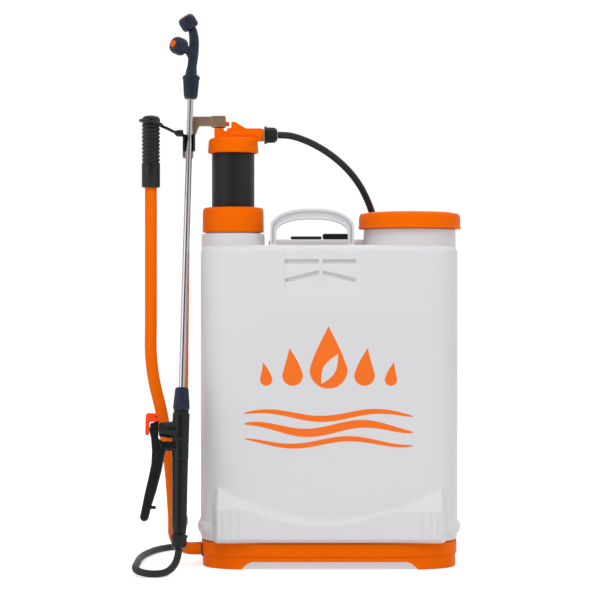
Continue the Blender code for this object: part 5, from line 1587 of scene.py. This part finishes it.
@dataclass
class TriggerGrip:
    """Grip with its valve boss, the squeeze trigger, the red lock and the hose nut."""

    shop: Workshop
    frame: Matrix
    sizes: GripSizes = GripSizes()

    def body(self) -> Piece:
        """Return the grip's body: a stout head, a boss, two ears and a slim tapering handle."""
        corners = [(0, -28), (8.6, -28), (10.3, -30), (10.3, -66), (9.9, -67), (9.9, -68), (10.2, -69),
                   (10.0, -85), (9.5, -86), (9.5, -86.8), (9.8, -87.6), (9.4, -110), (9.1, -150),
                   (8.9, -166), (7.8, -176), (0, -176)]
        handle = along_axis("handle", corners, "Z", (0, 0, 0), 0.8, False, 72)
        valve = (0, 0, self.sizes.valve / MM)
        corners = [(0, -26), (7.2, -26), (8.6, -25), (10.2, -12), (10.2, 0), (0, 0)]
        boss = along_axis("boss", corners, "X", valve, 0.8)
        corners = [(-24, -65.5), (0, -64.5), (0, -74.5), (-24, -74.2)]
        ears = [plate("ear", corners, 2.5, low, low + 2.6) for low in (-9.2, 6.6)]
        spine = bevel(block("spine", (-4, -11, -62), (4, -8, -32)), 1.2 * MM, 3)
        body = moulded("grip_shell", [handle, boss, spine] + ears, 0.55 * MM, 2)
        self.lean(body)
        throat = along_axis("throat", bar(2.7, -30, -18), "X", valve)
        return cut(body, throat)

    def lean(self, obj: Piece) -> None:
        """Set the grip's lower end a little to the right, as its handle leans against the lance."""
        for vertex in obj.data.vertices:
            vertex.co.x += self.sizes.lean * max(0.0, self.sizes.lean_from - vertex.co.z)

    def trigger(self) -> Piece:
        """Return the squeeze trigger, forked at its top."""
        side = [(-36.6, -42.3), (-26.9, -42.3), (-26.9, -61), (-19, -65.6), (-14.8, -67.2), (-14.2, -71),
                (-17, -75), (-18.8, -82), (-21.8, -100), (-27, -123), (-32.6, -143), (-35.8, -158),
                (-38.6, -160.6), (-43.4, -160.6), (-45.5, -157), (-40.6, -128), (-36.6, -108), (-33.8, -92),
                (-33.6, -76), (-35.2, -61), (-37, -54)]
        body = bevel(plate("trigger_lever", side, 2.4, -6, 6), 1.5 * MM, 4, 50)
        body = cut(body, block("slot", (-50, -3, -58), (-21, 3, -38)))
        ear = bevel(block("ear", (-32.6, 3.3, -46), (-27, 5.6, -32)), 0.6 * MM, 2)
        peg = along_axis("peg", bar(2, -38, -27), "X", (0, 0, -144), 0.4, False, 24)
        return merge("trigger_lever", [body, ear, peg])

    def lock(self) -> Piece:
        """Return the red lock, an inverted L over the trigger's ear."""
        side = [(-42, -58), (-37.4, -58), (-37.4, -41.9), (-28.6, -41.7), (-24.4, -39.4), (-23.5, -36),
                (-24.8, -32.6), (-29, -31.5), (-40, -31.5), (-42, -33.5)]
        front = bevel(plate("front", side, 1.8, -11, -6.5), 0.9 * MM, 3, 50)
        side = [(-39.4, -39.2), (-24.8, -39.2), (-23.5, -36), (-24.8, -32.6), (-29, -31.5), (-39.4, -31.5)]
        back = bevel(plate("back", side, 1.6, -7, 0), 0.6 * MM, 3, 50)
        return merge("trigger_catch", [front, back])

    def spring(self) -> None:
        """Wind the valve's spring as a fixed coil; the real spring shortens as the stem is drawn out."""
        s = self.sizes
        start, end, valve = s.spring_start, s.spring_end, s.valve
        line = []
        for step in range(s.coils * 20 + 1):
            turn = 2 * math.pi * step / 20
            along = start + (end - start) * step / (s.coils * 20)
            line.append((along, s.spring * math.cos(turn), valve + s.spring * math.sin(turn)))
        coil = sweep("valve_coil", line, s.wire, 10, 1.0, (1, 0, 0))
        coil.data.transform(SHIFT @ self.frame)
        coil.data.materials.append(STEEL.material())
        coil.data.shade_smooth()
        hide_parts("valve_spring")
        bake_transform(coil)

    def build(self) -> None:
        """Make the grip's pieces and dress the small inner ones."""
        shop, frame = self.shop, self.frame
        shop.fit(self.body(), BLACK, "frame", ["grip_body"], frame, 60)
        shop.fit(self.trigger(), BLACK, "trigger", ["trigger"], frame)
        shop.fit(self.lock(), LOCK_RED, "lock", ["trigger_lock"], frame)
        corners = [(2.8, -176.3), (10.2, -176.3), (10.2, -179.2), (9.4, -180), (8.8, -190), (7, -192.3),
                   (2.8, -192.3)]
        flutes = fluted(12, 0.5, -190, -180.4, 7.5)
        nut = along_axis("grip_hose_gland", corners, "Z", (0, 0, 0), 0.8, True, 144, flutes)
        self.lean(nut)
        shop.fit(nut, BLACK, "frame", ["grip_hose_nut"], frame, 50)
        self.spring()
        for node in ("trigger_pin", "lock_pin", "valve_stem"):
            shop.dress(node, STEEL)


@dataclass
class Print:
    """Orange print on the tank's front: drops above a band of waves, on a faint film.

    Its outlines are drawn in millimetres.
    """

    shop: Workshop
    tank: Tank
    film: float = 0.12 * MM
    ink: float = 0.24 * MM
    leaf_ink: float = 0.32 * MM
    wave_left: float = -104
    wave_width: float = 205

    def shell(self, proud: float) -> Piece:
        """Return a thin curved slab that lies on the tank's front.

        Args:
            proud: how far it stands off the wall.

        Returns:
            The slab.
        """
        s = self.tank.sizes
        wall: list[Point2] = []
        for step in range(101):
            place = (-125 + 2.5 * step) * MM
            share = 1 - (abs(place) / s.half_width) ** s.power
            wall.append((place, -s.half_depth * share ** (1 / s.power)))
        line = [(place, deep - proud) for place, deep in wall]
        line += [(place, deep + 1.2 * MM) for place, deep in reversed(wall)]
        return prism("slab", line, 110 * MM, 330 * MM, "Z")

    def lay(self, name: str, outlines: Sequence[Sequence[Point2]], proud: float) -> Piece:
        """Lay flat outlines on the tank's front.

        Args:
            name: the piece's name.
            outlines: X and Z of each outline's corners, in millimetres.
            proud: how far the piece stands off the wall.

        Returns:
            The piece.
        """
        stamps = [prism("stamp", in_mm(line), -0.1, -0.06) for line in outlines]
        made = self.shell(proud)
        made.name = name
        combine(made, merge("stamps", stamps), "INTERSECT")
        return made

    def drop(self, middle: Point2, height: float, width: float, lean: float = 0.0) -> list[Point2]:
        """Return a drop with its point up.

        Args:
            middle: the middle of its round end.
            height: its full height.
            width: its full width.
            lean: how far its point leans sideways.

        Returns:
            The outline.
        """
        radius = width / 2
        made = []
        for step in range(64):
            turn = 2 * math.pi * step / 64
            up = math.cos(turn)
            across = radius * math.sin(turn) * (1 - max(0.0, up)) ** 0.62
            rise = up * (height - radius) if up > 0 else up * radius
            made.append((middle[0] + across + lean * max(0.0, up) ** 2, middle[1] + rise))
        return made

    def leaf(self, start: Point2, end: Point2, width: float) -> list[Point2]:
        """Return a leaf between two points.

        Args:
            start: its stalk end.
            end: its point.
            width: how wide it is.

        Returns:
            The outline.
        """
        first, run = Vector(start), Vector(end) - Vector(start)
        side = Vector((-run.y, run.x)).normalized()
        made = []
        for sign in (1, -1):
            for step in range(24):
                t = step / 24 if sign > 0 else 1 - step / 24
                bow = math.sin(math.pi * t) * (1.15 - 0.3 * t) * width / 2
                made.append(tuple(first + run * t + side * bow * sign))
        return made

    def wave(self, low: float, thick: float, swell: float, phase: float) -> list[Point2]:
        """Return a band that waves from left to right and thins towards its ends.

        Args:
            low: the height of its middle line.
            thick: how thick it is in the middle.
            swell: how far it rises and falls.
            phase: where in its swing it starts.

        Returns:
            The outline.
        """
        line = []
        for sign in (1, -1):
            for step in range(81):
                t = step / 80 if sign > 0 else 1 - step / 80
                middle = low + swell * math.sin(phase + 3 * math.pi * t)
                half = 0.25 + thick / 2 * math.sin(math.pi * t) ** 0.5
                line.append((self.wave_left + self.wave_width * t, middle + sign * half))
        return line

    def build(self) -> None:
        """Lay the film and the print."""
        corners = [(-119, 137), (113, 137), (113, 309), (-119, 309)]
        film = self.lay("tank_film", [fillet(corners, 5, 6, True)], self.film)
        self.shop.fit(film, FILM, "frame")
        drops = [self.drop((-1.5, 243), 76, 46), self.drop((-45, 236), 46, 25, -4),
                 self.drop((42, 236), 46, 25, 4), self.drop((-77, 231), 29, 15, -4),
                 self.drop((74, 231), 29, 15, 4)]
        waves = [self.wave(188, 7, 4.5, 0.4), self.wave(172, 10, 5.5, 1.2), self.wave(155, 6, 4.5, 2.0)]
        self.shop.fit(self.lay("tank_print", drops + waves, self.ink), PRINT, "frame")
        leaves = [self.leaf((-10, 226), (10, 262), 15)]
        self.shop.fit(self.lay("tank_print_leaf", leaves, self.leaf_ink), FILM, "frame")


WAND_SEAT: Point3 = (-179.2, -78.9, 219.2)
WAND_AIM: Point3 = (-172.3, -7.8, 577.8)


def wand_frame() -> Matrix:
    """Return where the wand's own frame lies: its seat, with Z along the lance."""
    seat, aim = Vector(WAND_SEAT) * MM, Vector(WAND_AIM) * MM
    turn = Vector((0, 0, 1)).rotation_difference((aim - seat).normalized())
    return Matrix.Translation(seat) @ turn.to_matrix().to_4x4()


@dataclass(frozen=True)
class HoseSizes:
    """Route and thickness of the delivery hose, with X from the tank's middle."""

    radius: float = 4.3 * MM
    exit: Point3 = (-63.7 * MM, 0.0, 533 * MM)
    slack_end: Point3 = (72 * MM, 92 * MM, 365 * MM)
    grip_end: Point3 = (2.1 * MM, 0, -192.6 * MM)
    over_tank: tuple[Point3, ...] = (
        (-53.7, 0, 533), (-43, 2, 531.4), (-21, 8.6, 523.4), (4, 19, 509), (27, 31, 489), (44, 44.5, 466),
        (57, 62, 437), (66, 80, 405), (72, 92, 365), (75, 97, 300), (73, 98, 200), (64, 102, 110))
    on_floor: tuple[Point3, ...] = (
        (50, 109, 55), (26, 119, 20), (-10, 127, 6.6), (-50, 132, 4.6), (-105, 138, 4.6),
        (-155, 138, 4.6), (-191, 124, 4.6), (-216.5, 94, 4.6), (-230, 48, 4.6), (-235, 0, 5.2),
        (-234.5, -46, 7), (-233, -80, 9),
        (-232.2, -108, 10), (-231.8, -131.4, 9.2), (-228, -143.6, 7.2), (-218.3, -151, 5.4),
        (-206.2, -151, 4.6), (-196.3, -143.3, 4.9), (-190.3, -134.3, 7.2), (-185.3, -126.1, 12.2),
        (-182, -119.9, 20.1))
    step: float = 2 * MM
    rounds: int = 12


def relaxed(line: Sequence[Vector], step: float, rounds: int) -> list[Vector]:
    """Space a line's points evenly and ease its tight turns, with its ends kept.

    Args:
        line: the points.
        step: about how far apart the new points lie.
        rounds: how many times each point moves towards its neighbours.

    Returns:
        The eased line.
    """
    given = np.array(line)
    reach = np.concatenate(([0.0], np.cumsum(np.linalg.norm(np.diff(given, axis=0), axis=1))))
    places = np.linspace(0.0, reach[-1], round(reach[-1] / step) + 1)
    made = np.column_stack([np.interp(places, reach, given[:, axis]) for axis in range(3)])
    for _ in range(rounds):
        made[1:-1] = 0.25 * made[:-2] + 0.5 * made[1:-1] + 0.25 * made[2:]
    return [Vector(point) for point in made.tolist()]


@dataclass
class Hose:
    """The delivery hose, from the pump's cap down behind the tank and along the floor to the grip."""

    wand: Matrix
    sizes: HoseSizes = HoseSizes()

    def line(self) -> list[Vector]:
        """Return the hose's centreline in the model's frame."""
        s = self.sizes
        route = [Vector(s.exit)]
        route += [Vector(point) * MM for point in s.over_tank + s.on_floor]
        route.append(self.wand @ Vector(s.grip_end))
        return [SHIFT @ point for point in relaxed(smooth_line(route, 10), s.step, s.rounds)]

    def build(self) -> None:
        """Make the hose."""
        line = self.line()
        hose = sweep("hose_tube", line, self.sizes.radius, 24)
        hose.data.materials.append(HOSE_BLACK.material())
        hose.data.shade_smooth()
        hose.data.set_sharp_from_angle(angle=math.radians(50))
        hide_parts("hose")
        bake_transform(hose)


@dataclass(frozen=True)
class HarnessSizes:
    """Places of the two shoulder straps."""

    width: float = 38 * MM
    thick: float = 3 * MM
    edge: float = 1.2 * MM
    top_middle: float = -7.5 * MM
    top_half: float = 20.5 * MM
    foot: float = 118 * MM
    drop: tuple[Point2, ...] = ((62.7, 407), (72, 403), (86, 378), (106, 320), (119, 240), (115, 150),
                                (101, 80), (87.4, 42), (85.4, 28), (85.4, 14))


@dataclass
class Harness:
    """Two webbing shoulder straps with their buckles and hooks."""

    shop: Workshop
    sizes: HarnessSizes = HarnessSizes()

    def strap(self, name: str, side: int) -> Piece:
        """Make one strap: flat webbing with a thick woven edge and a slight crown.

        Args:
            name: the piece's name.
            side: -1 for the left strap, 1 for the right one.

        Returns:
            The strap.
        """
        s = self.sizes
        line = smooth_line([(0, along * MM, up * MM) for along, up in s.drop], 12)
        half = s.width / 2
        edge = s.edge
        section = [(-half, 0.0), (-half + 0.4 * MM, 1.0), (-half + edge, 1.0), (-half + 2 * edge, 0.8),
                   (0, 0.86), (half - 2 * edge, 0.8), (half - edge, 1.0), (half - 0.4 * MM, 1.0), (half, 0.0)]
        ring = section + [(across, -up) for across, up in section[-2:0:-1]]
        top, low = line[0].z, line[-1].z
        points: list[Point3] = []
        for index, point in enumerate(line):
            run = (line[min(index + 1, len(line) - 1)] - line[max(index - 1, 0)]).normalized()
            normal = Vector((0, -run.z, run.y))
            share = (top - point.z) / (top - low)
            middle = s.top_middle + side * s.top_half
            middle += (side * s.foot - middle) * max(0.0, share)
            for across, up in ring:
                here = point + normal * up * s.thick / 2
                points.append((middle + across, here.y, here.z))
        return ringed(name, points, len(ring))

    def build(self) -> None:
        """Make both straps and finish their fittings."""
        for name, side in (("left", -1), ("right", 1)):
            strap = self.strap("webbing_" + name, side)
            self.shop.fit(strap, WEBBING, "frame", ["shoulder_strap_" + name])
            self.shop.dress("strap_buckle_" + name, BLACK, 0.6 * MM)
            self.shop.dress("strap_hook_" + name, BLACK, 0.6 * MM)


@dataclass(frozen=True)
class Studio:
    """White floor and backdrop, lamps and the camera."""

    sky: float = 0.47
    floor_glow: float = 0.56
    white: tuple[float, ...] = (0.9, 0.9, 0.9, 1)
    black: tuple[float, ...] = (0.02, 0.02, 0.02, 1)
    lens: float = 126.49
    sensor: float = 36
    eye: Point3 = (-5.4 * MM, -2.6, 332 * MM)
    card_place: float = -3.2

    def seen(self, tree: Tree) -> bpy.types.NodeSocket:
        """Tell rays that show a background from those that light the object.

        Args:
            tree: the node tree that asks.

        Returns:
            A value of 1 for camera, mirrored and transmitted rays, else 0.
        """
        ray = tree.nodes.new("ShaderNodeLightPath")
        value = ray.outputs["Is Camera Ray"]
        for name in ("Is Glossy Ray", "Is Transmission Ray"):
            either = tree.nodes.new("ShaderNodeMath")
            either.operation = "MAXIMUM"
            tree.links.new(value, either.inputs[0])
            tree.links.new(ray.outputs[name], either.inputs[1])
            value = either.outputs[0]
        return value

    def floor(self) -> None:
        """Lay a wide pale floor that curves up into the backdrop."""
        points: list[Point3] = []
        line = [(-6.0, 0.0), (4.0, 0.0)]
        line += [(4.0 + math.sin(turn), 1.0 - math.cos(turn))
                 for turn in (math.pi / 2 * step / 12 for step in range(1, 13))]
        line.append((5.0, 5.0))
        for across in (-6.0, 6.0):
            points += [(across, along, up) for along, up in line]
        count = len(line)
        faces = [[step, step + 1, count + step + 1, count + step] for step in range(count - 1)]
        sheet = mesh_object("studio_floor", points, faces)
        sheet.data.shade_smooth()
        paint = bpy.data.materials.new("studio_white")
        paint.use_nodes = True
        tree = paint.node_tree
        matt = tree.nodes["Principled BSDF"]
        matt.inputs["Base Color"].default_value = self.white
        matt.inputs["Roughness"].default_value = 0.9
        matt.inputs["Specular IOR Level"].default_value = 0.0
        matt.inputs["Emission Color"].default_value = (1, 1, 1, 1)
        lift = tree.nodes.new("ShaderNodeMath")
        lift.operation = "MULTIPLY"
        lift.inputs[1].default_value = self.floor_glow
        tree.links.new(self.seen(tree), lift.inputs[0])
        tree.links.new(lift.outputs[0], matt.inputs["Emission Strength"])
        sheet.data.materials.append(paint)

    def world(self) -> None:
        """Fill the room with plain light that the camera sees as white."""
        world = bpy.data.worlds.new("studio_light")
        bpy.context.scene.world = world
        world.use_nodes = True
        tree = world.node_tree
        sky = tree.nodes["Background"]
        sky.inputs["Color"].default_value = (1, 1, 1, 1)
        level = tree.nodes.new("ShaderNodeMath")
        level.operation = "MULTIPLY_ADD"
        level.inputs[1].default_value = 1 - self.sky
        level.inputs[2].default_value = self.sky
        tree.links.new(self.seen(tree), level.inputs[0])
        tree.links.new(level.outputs[0], sky.inputs["Strength"])

    def lamp(self, name: str, place: Point3, aim: Point3, size: float, power: float, mirrored: bool) -> None:
        """Hang a square lamp.

        Args:
            name: the lamp's name.
            place: where it hangs.
            aim: where it shines.
            size: its side.
            power: its strength in watts.
            mirrored: whether it shows in shiny surfaces.
        """
        light = bpy.data.lights.new(name, "AREA")
        light.size = size
        light.energy = power
        made = bpy.data.objects.new(name, light)
        made.location = place
        made.rotation_euler = (Vector(aim) - Vector(place)).to_track_quat("-Z", "Y").to_euler()
        made.visible_glossy = mirrored
        bpy.context.scene.collection.objects.link(made)

    def card(self) -> None:
        """Stand a dark card behind the camera, seen only in reflections, so that dark plastics stay dark."""
        corners = ((-1.3, -0.2), (1.3, -0.2), (1.3, 3.4), (-1.3, 3.4))
        points = [(across, self.card_place, up) for across, up in corners]
        made = mesh_object("studio_card", points, [[0, 1, 2, 3]])
        paint = bpy.data.materials.new("studio_black")
        paint.use_nodes = True
        paint.node_tree.nodes["Principled BSDF"].inputs["Base Color"].default_value = self.black
        made.data.materials.append(paint)
        made.visible_camera = False
        made.visible_diffuse = False
        made.visible_shadow = False

    def camera(self) -> None:
        """Place the camera level, straight before the sprayer."""
        eye = bpy.data.cameras.new("camera")
        eye.lens = self.lens
        eye.sensor_width = self.sensor
        made = bpy.data.objects.new("camera", eye)
        made.location = self.eye
        made.rotation_euler = (math.pi / 2, 0, 0)
        bpy.context.scene.collection.objects.link(made)
        bpy.context.scene.camera = made

    def build(self) -> None:
        """Set the studio up."""
        bpy.context.scene.view_settings.view_transform = "Standard"
        self.floor()
        self.world()
        self.lamp("key", (-0.15, -1.7, 2.5), (0, 0, 0.3), 1.8, 33, False)
        self.lamp("fill", (1.7, -1.5, 1.2), (0, 0, 0.3), 1.4, 6.5, False)
        self.lamp("left", (-1.9, -1.3, 0.8), (0, 0, 0.1), 1.2, 5, True)
        self.lamp("back", (0.3, 1.1, 2.2), (0, 0, 0.3), 1.2, 9, True)
        self.card()
        self.camera()


def main() -> None:
    """Build every sub-assembly and the studio."""
    logging.basicConfig(level=logging.INFO, format="%(message)s")
    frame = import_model()
    shop = Workshop(frame)
    wand = wand_frame()
    tank = Tank(shop)
    tank.build()
    Base(shop, tank).build()
    CarryHandle(shop).build()
    Filler(shop, beside(tank.sizes.filler)).build()
    Pump(shop, beside(tank.sizes.pump)).build()
    Print(shop, tank).build()
    Drive(shop).build()
    Wand(shop, wand).build()
    TriggerGrip(shop, wand).build()
    Hose(wand).build()
    Harness(shop).build()
    Studio().build()


if __name__ == "__main__":
    main()
